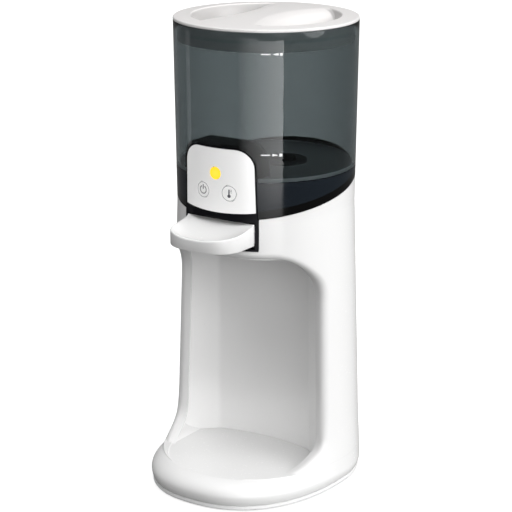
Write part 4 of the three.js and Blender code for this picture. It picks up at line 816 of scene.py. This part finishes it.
def leverSkin():
    v = lever
    outline = paddleOutline()
    backZ = v["foot"] + v["backRise"]

    def share(y):
        return np.clip((v["backY"] - y) / (v["backY"] - v["frontY"]), 0, 1)

    def rim(y):
        return backZ - v["sideDrop"] * share(y) ** v["sidePower"] - v["noseDrop"] * share(y) ** v["nosePower"]

    def dish(y):
        return backZ - (v["backRise"] - v["dishRise"]) * (1 - (1 - share(y)) ** 2)

    def level(size, height):
        y = v["dishY"] + (outline[:, 1] - v["dishY"]) * size
        return stacked(outline[:, 0] * size, y, height(y))

    soft = v["soft"]
    rings = [level(1 - soft / v["footRun"], lambda y: v["foot"]),
             level(1 - soft / v["bendRun"], lambda y: v["foot"] + v["bendRise"] * soft),
             level(1, lambda y: v["foot"] + soft)]
    for turn in quarterTurn(v["rimRows"]):
        sunk = soft * (1 - math.sin(turn))
        rings.append(level(1 - soft / v["rimRun"] * (1 - math.cos(turn)), lambda y: rim(y) - sunk))
    for size in np.concatenate([[v["rimShare"]], np.linspace(*v["dishSizes"])]):
        rise = min(size / v["rimShare"], 1) ** v["dishPower"]
        rings.append(level(size, lambda y: dish(y) + (rim(y) - dish(y)) * rise))
    skin = Skin()
    skin.grid(np.array(rings), closeColumns=True, shut=(True, True))
    leverArm(skin)
    return skin.mesh("lever_skin", v["crease"])


# A side view carried across, then the hub's profile round the pin, then the tongue
def leverArm(skin):
    a = arm
    y, z = a["pin"]
    low, high = lever["foot"] + a["low"], lever["foot"] + a["high"]
    front, back, bevel = a["front"], a["back"], a["bevel"]
    neck, neckBack = a["neckHalf"], y - a["neckBack"]
    side = np.array([(front, low + bevel), (front + bevel, low), (back - bevel, low), (back, low + bevel),
                     (back, z - neck), (neckBack, z - neck), (neckBack, z + neck), (back, z + neck),
                     (back, high - bevel), (back - bevel, high), (front + bevel, high),
                     (front, high - bevel)])
    half, inset = a["half"], a["endInset"]
    ends = [(-half, a["endSize"]), (-half + inset, 1.0), (half - inset, 1.0), (half, a["endSize"])]
    centre = np.array([a["middle"], z])
    rows = [stacked(x, *(centre + (side - centre) * size).T) for x, size in ends]
    skin.grid(np.array(rows), closeColumns=True, shut=(True, True))
    turn = fullTurn(a["steps"])
    hub, bevel = a["hub"], a["hubBevel"]
    profile = [(-half, a["bore"]), (-half, hub - bevel), (-half + bevel, hub),
               (half - bevel, hub), (half, hub - bevel), (half, a["bore"])]
    rows = [stacked(x, y + r * np.cos(turn), z + r * np.sin(turn)) for x, r in profile]
    skin.grid(np.array(rows), closeRows=True, closeColumns=True)
    wide, high = a["tongueHalf"], a["tongueHigh"]
    tongue = np.array([(-wide, z - high), (wide, z - high), (wide, z + high), (-wide, z + high)])
    bent, end = a["tongueEnd"]
    rows = [stacked(tongue[:, 0] * size, at, z + (tongue[:, 1] - z) * size)
            for at, size in ((y + a["tongueFoot"], 1.0), (bent, 1.0), (end, a["tipSize"]))]
    skin.grid(np.array(rows), closeColumns=True, shut=(True, True))


# Cord gland: a rounded flange and a barrel about a lying axis, with a slot for a flat cord right through
gland = {
    "height": 26.0, "radius": 8.0, "barrel": 5.6, "face": 70.7, "seat": 69.0, "inner": 55.2, "soft": 0.6,
    "slotHalf": 3.4, "slotHigh": 1.9, "slotStretch": 2.2, "mouth": ((1.0, 1.0), (1.04, 0.3), (1.15, 0.0)),
    "bends": 6, "steps": 72, "crease": 40.0,
}


def cordGland():
    g = gland
    turn = fullTurn(g["steps"])
    ends = g["slotHalf"] - g["slotHigh"]
    slot = stacked(ends * np.clip(g["slotStretch"] * np.cos(turn), -1, 1), 0.0)
    slot += g["slotHigh"] * stacked(np.cos(turn), np.sin(turn))
    circle = stacked(np.cos(turn), np.sin(turn))

    def ring(outline, y):
        return stacked(outline[:, 0], y, g["height"] + outline[:, 1])

    soft = g["soft"]
    rows = [ring(slot, g["inner"])]
    rows += [ring(slot * size, g["face"] - soft * share) for size, share in g["mouth"]]
    for bend in quarterTurn(g["bends"]):
        radius = g["radius"] - soft * (1 - math.sin(bend))
        rows.append(ring(circle * radius, g["face"] - soft * (1 - math.cos(bend))))
    rows += [ring(circle * g["radius"], g["seat"]), ring(circle * g["barrel"], g["seat"]),
             ring(circle * g["barrel"], g["inner"])]
    skin = Skin()
    skin.grid(np.array(rows), closeRows=True, closeColumns=True)
    return skin.mesh("cord_gland_skin", g["crease"])


# Rim of the base plate: the foot's outline drawn in, with a soft lower edge, round the plate's own edge
plateEdge = {
    "inset": 1.1, "depth": 8.0, "low": 1.25, "high": 4.06, "soft": 0.7, "bends": 5, "columns": 220,
    "crease": 40.0,
}


def plateRim():
    r = plateEdge
    angle = fullTurn(r["columns"])
    outer = footRadius(angle) - r["inset"]
    rows = [(r["depth"], r["high"]), (0.0, r["high"])]
    rows += [(r["soft"] * (1 - math.cos(t)), r["low"] + r["soft"] * (1 - math.sin(t)))
             for t in quarterTurn(r["bends"])]
    rows += [(r["depth"], r["low"])]
    skin = Skin()
    rings = [onRing(angle, outer - inset, z) for inset, z in rows]
    skin.grid(np.array(rings), closeRows=True, closeColumns=True)
    return skin.mesh("plate_rim", r["crease"])


# Shader maths: a socket that takes Python's operators, and a finish that makes the nodes
class Sock:
    def __init__(self, finish, socket):
        self.finish = finish
        self.socket = socket

    def maths(self, operation, other, swapped=False):
        pair = (other, self) if swapped else (self, other)
        return self.finish.make("ShaderNodeMath", {"operation": operation}, *pair)

    __add__ = partialmethod(maths, "ADD")
    __sub__ = partialmethod(maths, "SUBTRACT")
    __rsub__ = partialmethod(maths, "SUBTRACT", swapped=True)
    __mul__ = partialmethod(maths, "MULTIPLY")
    __truediv__ = partialmethod(maths, "DIVIDE")
    __pow__ = partialmethod(maths, "POWER")
    __gt__ = partialmethod(maths, "GREATER_THAN")
    __lt__ = partialmethod(maths, "LESS_THAN")
    __or__ = partialmethod(maths, "MAXIMUM")
    __and__ = partialmethod(maths, "MINIMUM")

    def size(self):
        return self.finish.make("ShaderNodeMath", {"operation": "ABSOLUTE"}, self)

    def between(self, low, high):
        return (self > low) & (self < high)


# Distance from two offsets across each other
def apart(across, up):
    return (across * across + up * up) ** 0.5


# A material's nodes: each maker gives back a socket to work on with the operators
class Finish:
    def __init__(self, name):
        self.material = bpy.data.materials.new(name)
        self.material.use_nodes = True
        self.tree = self.material.node_tree
        self.tree.nodes.clear()
        self.output = self.tree.nodes.new("ShaderNodeOutputMaterial")

    # One node: its type, its settings, and the values or links of its sockets by place or name
    def make(self, kind, settings=None, *values, out=0, sockets=None):
        node = self.tree.nodes.new(kind)
        for key, value in (settings or {}).items():
            if key == "stops":
                self.setStops(node.color_ramp, value)
            else:
                setattr(node, key, value)
        for key, value in [*enumerate(values), *(sockets or {}).items()]:
            self.feed(node.inputs[key], value)
        return Sock(self, node.outputs[out])

    # A ramp's stops: each a place and a colour
    def setStops(self, ramp, stops):
        while len(ramp.elements) < len(stops):
            ramp.elements.new(1.0)
        for stop, (place, colour) in zip(ramp.elements, stops):
            stop.position = place
            stop.color = (*colour, 1.0)

    def feed(self, target, value):
        if isinstance(value, Sock):
            self.tree.links.new(value.socket, target)
        elif target.type == "RGBA":
            target.default_value = (*value[:3], 1.0)
        else:
            target.default_value = value

    # Object coordinates, stretched by a scale
    def points(self, scale=(1.0, 1.0, 1.0)):
        spot = self.make("ShaderNodeTexCoord", out=3)
        return self.make("ShaderNodeMapping", {}, spot, sockets={"Scale": scale})

    def axis(self, letter):
        spot = self.make("ShaderNodeTexCoord", out=3)
        return self.make("ShaderNodeSeparateXYZ", {}, spot, out="XYZ".index(letter))

    def noise(self, scale, detail=2.0, where=None):
        sockets = {"Vector": where or self.points(), "Scale": scale, "Detail": detail}
        return self.make("ShaderNodeTexNoise", sockets=sockets)

    def ramp(self, value, stops):
        return self.make("ShaderNodeValToRGB", {"stops": stops}, value)

    def mixed(self, factor, first, second):
        sockets = {0: factor, 6: first, 7: second}
        return self.make("ShaderNodeMix", {"data_type": "RGBA"}, sockets=sockets, out=2)

    def bump(self, height, distance):
        return self.make("ShaderNodeBump", sockets={"Height": height, "Distance": distance})

    def surface(self, sockets):
        return self.make("ShaderNodeBsdfPrincipled", sockets=sockets)

    def done(self, shader):
        self.tree.links.new(shader.socket, self.output.inputs["Surface"])
        return self.material


grainDetail = 3.0
coatRoughness = 0.05


# Moulded plastic: a colour with faint cloudy change, a skin that is slightly uneven, and fine ripple
def mouldedPlastic(name, look, tone=None):
    finish = Finish(name)
    cloud = finish.noise(look["cloudScale"])
    fine = finish.noise(look["grainScale"], grainDetail)
    colour = finish.mixed(cloud, look["colour"], look["shade"])
    if tone:
        colour = tone(finish, colour)
    sockets = {
        "Base Color": colour,
        "Roughness": fine * look["roughnessSpread"] + look["roughness"],
        "Coat Weight": look["coat"],
        "Coat Roughness": coatRoughness,
        "Specular IOR Level": look["gloss"],
        # Emission: none for most plastics; the panel's painted glow, shared by its buttons, comes in here
        "Emission Color": colour,
        "Emission Strength": look.get("glow", 0.0),
        "Normal": finish.bump(fine, look["grainHeight"]),
    }
    return finish.done(finish.surface(sockets))


plasticKeys = (
    "colour", "shade", "cloudScale", "grainScale", "grainHeight", "roughness", "roughnessSpread", "coat",
    "gloss",
)
plasticRows = {
    "shell": ((0.765, 0.763, 0.760), (0.745, 0.744, 0.742), 22.0, 700.0, 0.0000025, 0.22, 0.08, 0.08, 0.14),
    "liner": ((0.87, 0.867, 0.864), (0.85, 0.847, 0.843), 18.0, 800.0, 0.00001, 0.25, 0.08, 0.5, 0.5),
    "plate": ((0.90, 0.90, 0.90), (0.86, 0.86, 0.86), 30.0, 1400.0, 0.00003, 0.42, 0.15, 0.0, 0.5),
    "lid": ((0.74, 0.722, 0.715), (0.715, 0.70, 0.693), 20.0, 1500.0, 0.00002, 0.3, 0.12, 0.1, 0.5),
    "black": ((0.004, 0.004, 0.005), (0.007, 0.007, 0.009), 24.0, 900.0, 0.000006, 0.12, 0.08, 0.0, 0.05),
    "panel": ((0.88, 0.878, 0.875), (0.86, 0.858, 0.855), 22.0, 700.0, 0.000006, 0.2, 0.08, 0.3, 0.5),
    "rubber": ((0.035, 0.035, 0.038), (0.055, 0.055, 0.058), 60.0, 2200.0, 0.00006, 0.62, 0.25, 0.0, 0.5),
    "silicone": ((0.66, 0.68, 0.68), (0.6, 0.62, 0.62), 50.0, 1200.0, 0.00002, 0.4, 0.15, 0.0, 0.5),
    "heater": ((0.42, 0.34, 0.24), (0.3, 0.25, 0.19), 160.0, 900.0, 0.00005, 0.45, 0.25, 0.0, 0.5),
    "ink": ((0.90, 0.90, 0.90), (0.85, 0.85, 0.86), 400.0, 3000.0, 0.00001, 0.4, 0.2, 0.0, 0.5),
}
plasticLooks = {slot: dict(zip(plasticKeys, row)) for slot, row in plasticRows.items()}
plasticLooks["panel"]["glow"] = 0.21  # painted glow: the panel glows though it is no lamp, brighter than the lights alone make it

# Lid's pockets: painted shade on their steep outer walls, a darker colour than the top, which starts below
# the brim
pocketPaintedShade = {"inside": 48.6, "fade": 1.6, "outside": 55.0, "sunk": 1.2, "colour": (0.45, 0.44, 0.435)}


# Share of the painted shade on the pocket walls: full past a radius and below the dome, none outside the
# pocket
def paintPocketShade(finish, colour):
    look = pocketPaintedShade
    across, rear = finish.axis("X"), finish.axis("Y") - towerBack * millimetre
    reach = apart(across, rear)
    share = reach * (1.0 / (lid["radius"] * millimetre))
    crown = (share * share) * (-lid["crown"] * millimetre) + (stand["topHeight"] + lid["crown"]) * millimetre
    depth = (crown - finish.axis("Z")) * (1.0 / (look["sunk"] * millimetre))
    begun = (reach - look["inside"] * millimetre) * (1.0 / (look["fade"] * millimetre))
    # wall: the share of painted shade on the pocket's outer walls
    wall = (begun | 0.0) & (depth | 0.0) & (reach < look["outside"] * millimetre)
    return finish.mixed(wall, colour, look["colour"])


# Colour changes by slot: the lid's painted shade in its pockets
paintedShades = {"lid": paintPocketShade}
finishes = {}
for slot, look in plasticLooks.items():
    finishes[slot] = mouldedPlastic(slot + "Plastic", look, paintedShades.get(slot))

# Signs on the two buttons, in metres from each button's middle
buttonPrint = {
    "ring": (0.00515, 0.0056), "ringColour": (0.30, 0.30, 0.31), "signColour": (0.09, 0.09, 0.10),
    "arc": (0.0024, 0.0031), "arcGap": 0.0013, "barHalf": 0.0004, "bar": (0.0004, 0.0037),
    "stemHalf": 0.00055, "stem": (-0.0016, 0.0028), "bulb": 0.00125, "bulbDrop": 0.0019,
    "ticks": (0.0006, 0.0016, 0.0026), "tickHalf": 0.00018, "tickRun": (0.0011, 0.0021),
}


# A thin ring, and in it a broken circle with a bar, or a thermometer with its marks
def buttonFace(centre, kind):
    p = buttonPrint

    def draw(finish, colour):
        across = finish.axis("X") - centre[0]
        up = finish.axis("Z") - centre[2]
        reach = apart(across, up)
        if kind == "power":
            opening = (across.size() < p["arcGap"]) & (up > 0.0)
            mark = reach.between(*p["arc"]) & (1.0 - opening)
            mark = mark | ((across.size() < p["barHalf"]) & up.between(*p["bar"]))
        else:
            low = up + p["bulbDrop"]
            mark = apart(across, low) < p["bulb"]
            mark = mark | ((across.size() < p["stemHalf"]) & up.between(*p["stem"]))
            for height in p["ticks"]:
                tick = ((up - height).size() < p["tickHalf"]) & across.between(*p["tickRun"])
                mark = mark | tick
        ringed = finish.mixed(reach.between(*p["ring"]), colour, p["ringColour"])
        return finish.mixed(mark, ringed, p["signColour"])

    return draw


# The buttons take the panel's look, and so its painted glow, with their signs printed on
for node, kind in (("power_button", "power"), ("temperature_button", "temperature")):
    low, high = (Vector(corner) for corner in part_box(node))
    finishes[node] = mouldedPlastic(kind + "Print", plasticLooks["panel"], buttonFace((low + high) / 2, kind))

smokeLook = {
    "colour": (0.47, 0.505, 0.51), "shade": (0.455, 0.49, 0.50), "cloudScale": 14.0, "clearSpread": 0.01,
    "ior": 1.25, "absorbed": (0.0, 0.05, 0.06), "density": 230.0, "deep": (0.010, 0.014, 0.019),
    "band": (0.002, 0.002, 0.002), "bandHeight": 6.2, "deepShare": 0.85, "deepRoughness": 0.1,
    "deepSpread": 0.05, "deepGloss": 0.18, "slate": (0.52, 0.56, 0.58), "slateShare": 0.8,
    "slateRoughness": 0.25, "slateSpread": 0.1, "floorReach": 63.6,
}


# Smoky clear plastic: a tinted wall, near black under the tank's floor, with a slate floor inside
def smokyPlastic(name, look):
    finish = Finish(name)
    cloud = finish.noise(look["cloudScale"])
    clear = finish.surface({
        "Base Color": finish.mixed(cloud, look["colour"], look["shade"]),
        "Roughness": cloud * look["clearSpread"],
        "Transmission Weight": 1.0,
        "IOR": look["ior"],
    })
    across, height = finish.axis("X"), finish.axis("Z")
    rear = finish.axis("Y") - towerBack * millimetre
    band = (height - rear * stand["slope"]) < (stand["seat"] + look["bandHeight"]) * millimetre
    under = height < tank["floorUnder"] * millimetre
    deep = finish.surface({
        "Base Color": finish.mixed(band, look["deep"], look["band"]),
        "Roughness": cloud * look["deepSpread"] + look["deepRoughness"],
        "Specular IOR Level": look["deepGloss"],
    })
    walled = finish.make("ShaderNodeMixShader", {}, band | (under * look["deepShare"]), clear, deep)
    reach = apart(across, rear)
    low, high = tank["floorUnder"] * millimetre, (tank["floorTop"] + tank["edge"]) * millimetre
    onFloor = height.between(low, high) & (reach < look["floorReach"] * millimetre)
    slateRoughness = cloud * look["slateSpread"] + look["slateRoughness"]
    slate = finish.surface({"Base Color": look["slate"], "Roughness": slateRoughness})
    shaded = finish.make("ShaderNodeMixShader", {}, onFloor * look["slateShare"], walled, slate)
    absorbed = {"Color": look["absorbed"], "Density": look["density"]}
    inside = finish.make("ShaderNodeVolumeAbsorption", sockets=absorbed)
    finish.tree.links.new(inside.socket, finish.output.inputs["Volume"])
    return finish.done(shaded)


finishes["smoke"] = smokyPlastic("smokePlastic", smokeLook)
steelLook = {
    "colour": (0.62, 0.63, 0.64), "shade": (0.50, 0.51, 0.52), "lineScale": (1800.0, 1800.0, 60.0),
    "roughness": 0.2, "roughnessSpread": 0.22, "lineHeight": 0.00001,
}


# Stainless steel with long fine brush lines along the upright axis
def brushedSteel(name, look):
    finish = Finish(name)
    lines = finish.noise(1.0, grainDetail, finish.points(look["lineScale"]))
    sockets = {
        "Base Color": finish.mixed(lines, look["colour"], look["shade"]),
        "Metallic": 1.0,
        "Roughness": lines * look["roughnessSpread"] + look["roughness"],
        "Normal": finish.bump(lines, look["lineHeight"]),
    }
    return finish.done(finish.surface(sockets))


finishes["steel"] = brushedSteel("steelBrushed", steelLook)
boardLook = {
    "colour": (0.010, 0.085, 0.035), "track": (0.02, 0.16, 0.06), "cellScale": 420.0, "trackFrom": 0.55,
    "roughness": 0.3, "roughnessSpread": 0.15, "trackHeight": 0.00003,
}


# Circuit board: solder mask with lighter tracks from a cellular pattern
def circuitBoard(name, look):
    finish = Finish(name)
    spots = {"Vector": finish.points(), "Scale": look["cellScale"]}
    cells = finish.make("ShaderNodeTexVoronoi", {"distance": "CHEBYCHEV"}, sockets=spots)
    track = cells > look["trackFrom"]
    sockets = {
        "Base Color": finish.mixed(track, look["colour"], look["track"]),
        "Roughness": track * look["roughnessSpread"] + look["roughness"],
        "Normal": finish.bump(track, look["trackHeight"]),
    }
    return finish.done(finish.surface(sockets))


finishes["board"] = circuitBoard("boardMask", boardLook)
amberLook = {
    "stops": [(0.0, (1.0, 0.76, 0.06)), (0.6, (1.0, 0.70, 0.03)), (1.0, (0.96, 0.66, 0.05))],
    "glow": 0.55, "roughness": 0.25,
}


# Status light: a clear amber guide, brighter in the middle of its face
def amberLight(name, look, low, high):
    finish = Finish(name)
    centre, radius = (low + high) / 2, (high.x - low.x) / 2
    across = finish.axis("X") - centre[0]
    up = finish.axis("Z") - centre[2]
    amber = finish.ramp((across * across + up * up) / (radius * radius), look["stops"])
    sockets = {
        "Base Color": amber,
        "Emission Color": amber,
        "Emission Strength": look["glow"],
        "Roughness": look["roughness"],
    }
    return finish.done(finish.surface(sockets))


lightLow, lightHigh = (Vector(corner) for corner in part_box("status_light"))
finishes["amber"] = amberLight("amberGuide", amberLook, lightLow, lightHigh)
print("finishes made:", len(finishes))

# The pieces, each in place of its node
settle(outerHousing(), "outer_housing_skin", "base", "shell", ["outer_housing"])
settle(nookLiner(), "nook_liner_skin", "base", "liner", ["nook_liner"])
settle(tankShell(), "tank_shell_skin", "tank", "smoke", ["tank_shell"])
settle(levelMarks(), "level_marks", "tank", "lid", finish=finishes["ink"])
settle(lidSkin(), "lid_skin", "lid", "lid", ["lid"])
settle(leverSkin(), "lever_skin", "lever", "shell", ["lever"])
settle(cordGland(), "cord_gland_skin", "base", "rubber", ["cord_gland"])
settle(plateRim(), "plate_rim", "base", "plate")
print("surfaces worked out: 8")
# What lies on the round body; a node without a finish of its own takes its slot's
onBody = {
    "lever_bezel": None, "tank_seat": None, "control_housing": None, "status_light": None,
    "control_panel": finishes["panel"], "power_button": finishes["power_button"],
    "temperature_button": finishes["temperature_button"],
}
for node, finish in onBody.items():
    carryOver(node, onBody=True, finish=finish)
carried = [
    "base_plate", "valve_body", "spout_nozzle", "boiler", "boiler_stand", "heater_band",
    "inlet_tube", "outlet_tube", "dispense_valve", "thermal_fuse", "temperature_sensor", "lid_seal",
    "valve_seal", "valve_plunger", "valve_spring", "lever_spring", "lever_pin",
    *(node for node in frame["nodes"] if node.startswith(("foot_", "screw_"))),
]
squeezed = {node: carryOver(node) for node in carried}
for node, piece in frame["nodes"].items():
    if not piece.hide_render:
        piece.data.materials.clear()
        piece.data.materials.append(finishes[slotOf[node]])
# Springs: each one's placement is baked into its mesh
for node, (body, foot, top) in springEnds.items():
    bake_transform(squeezed[node])
print("nodes carried over:", len(onBody) + len(carried))

# Floor, lights and camera
stageLook = {
    "floorSize": 24.0, "floorColour": (0.35, 0.35, 0.35), "floorShade": 0.99, "grainScale": 60.0,
    "floorRoughness": 0.8, "floorGlow": 2.15, "sky": (1.0, 1.0, 1.0), "skyStrength": 0.16,
}
sunLooks = {
    "top": {"turn": 0.0, "rise": 90.0, "angle": 80.0, "strength": 2.6},
    "right": {"turn": 95.0, "rise": 15.0, "angle": 45.0, "strength": 2.8},
    "front": {"turn": 50.0, "rise": 18.0, "angle": 45.0, "strength": 0.9},
    "left": {"turn": -30.0, "rise": 15.0, "angle": 45.0, "strength": 0.35},
}
cardShape = {"low": 0.045, "high": 0.26, "rise": (0.05, 0.11), "foot": 0.25}
cardLooks = {
    "wide": {"ends": ((-0.010, -0.680), (0.492, -0.354)), "axis": "X", "from": 0.0, "strength": 13.0},
    "narrow": {"ends": ((-0.590, -0.095), (-0.590, -0.190)), "axis": "Y", "from": 0.4, "strength": 1.2},
}
cameraLook = {
    "eye": (0.69704, -1.05498, 0.53617), "aim": (-0.00605, 0.00971, 0.16235), "lens": 127.19,
    "sensor": 36.0, "near": 0.01,
}


# A four-cornered plane that is scenery, not a piece
def stagePlane(name, corners, material):
    mesh = bpy.data.meshes.new(name)
    mesh.from_pydata(corners, [], [(0, 1, 2, 3)])
    plane = bpy.data.objects.new(name, mesh)
    bpy.context.scene.collection.objects.link(plane)
    mesh.materials.append(material)
    return plane


# A wide pale floor, hidden from diffuse and glossy rays, under an even sky
def studioFloor(look):
    half = look["floorSize"] / 2
    finish = Finish("floorPaper")
    grain = finish.noise(look["grainScale"])
    shade = tuple(value * look["floorShade"] for value in look["floorColour"])
    colour = finish.mixed(grain, look["floorColour"], shade)
    sockets = {
        "Base Color": colour,
        "Roughness": look["floorRoughness"],
        "Emission Color": colour,
        "Emission Strength": look["floorGlow"],
    }
    corners = [(-half, -half, 0.0), (half, -half, 0.0), (half, half, 0.0), (-half, half, 0.0)]
    floor = stagePlane("floor", corners, finish.done(finish.surface(sockets)))
    floor.visible_diffuse = floor.visible_glossy = False
    world = bpy.data.worlds.new("studio")
    world.use_nodes = True
    sky = world.node_tree.nodes["Background"]
    sky.inputs["Color"].default_value = (*look["sky"], 1.0)
    sky.inputs["Strength"].default_value = look["skyStrength"]
    bpy.context.scene.world = world


# Stops of a ramp from one grey to white
def greyRamp(low):
    return [(0.0, (low, low, low)), (1.0, (1.0, 1.0, 1.0))]


# A card that only shows as a reflection: a soft-edged strip, brighter towards one side
def reflectionCard(name, look, shape):
    finish = Finish(name + "Card")
    (x0, y0), (x1, y1) = look["ends"]
    start, end = (x0, x1) if look["axis"] == "X" else (y0, y1)
    along = (finish.axis(look["axis"]) - start) / (end - start)
    foot, full = shape["rise"]
    risen = (finish.axis("Z") - foot) / (full - foot)
    upright = finish.ramp(risen, greyRamp(shape["foot"]))
    glow = finish.make("ShaderNodeMix", {"data_type": "RGBA", "blend_type": "MULTIPLY"},
                       sockets={0: 1.0, 6: finish.ramp(along, greyRamp(look["from"])), 7: upright}, out=2)
    sockets = {"Base Color": (0.0, 0.0, 0.0), "Emission Color": glow, "Emission Strength": look["strength"]}
    low, high = shape["low"], shape["high"]
    corners = [(x0, y0, low), (x1, y1, low), (x1, y1, high), (x0, y0, high)]
    card = stagePlane(name + "Card", corners, finish.done(finish.surface(sockets)))
    card.visible_camera = card.visible_diffuse = card.visible_transmission = card.visible_shadow = False


# A soft sun from a turn about the axis and a rise above the floor
def studioSun(name, look):
    lamp = bpy.data.lights.new(name, "SUN")
    lamp.angle = math.radians(look["angle"])
    lamp.energy = look["strength"]
    light = bpy.data.objects.new(name, lamp)
    turn, rise = math.radians(look["turn"]), math.radians(look["rise"])
    light.location = (math.sin(turn) * math.cos(rise), -math.cos(turn) * math.cos(rise), math.sin(rise))
    light.rotation_euler = (-light.location).to_track_quat("-Z", "Y").to_euler()
    bpy.context.scene.collection.objects.link(light)


# The camera at the photograph's place, aimed at the object's middle
def photoCamera(look):
    lens = bpy.data.cameras.new("camera")
    lens.lens = look["lens"]
    lens.sensor_width = look["sensor"]
    lens.clip_start = look["near"]
    camera = bpy.data.objects.new("camera", lens)
    camera.location = look["eye"]
    camera.rotation_euler = (Vector(look["aim"]) - Vector(look["eye"])).to_track_quat("-Z", "Y").to_euler()
    bpy.context.scene.collection.objects.link(camera)
    bpy.context.scene.camera = camera


studioFloor(stageLook)
for name, look in sunLooks.items():
    studioSun(name, look)
for name, look in cardLooks.items():
    reflectionCard(name, look, cardShape)
photoCamera(cameraLook)
bpy.context.scene.view_settings.view_transform = "Standard"
print("studio ready")
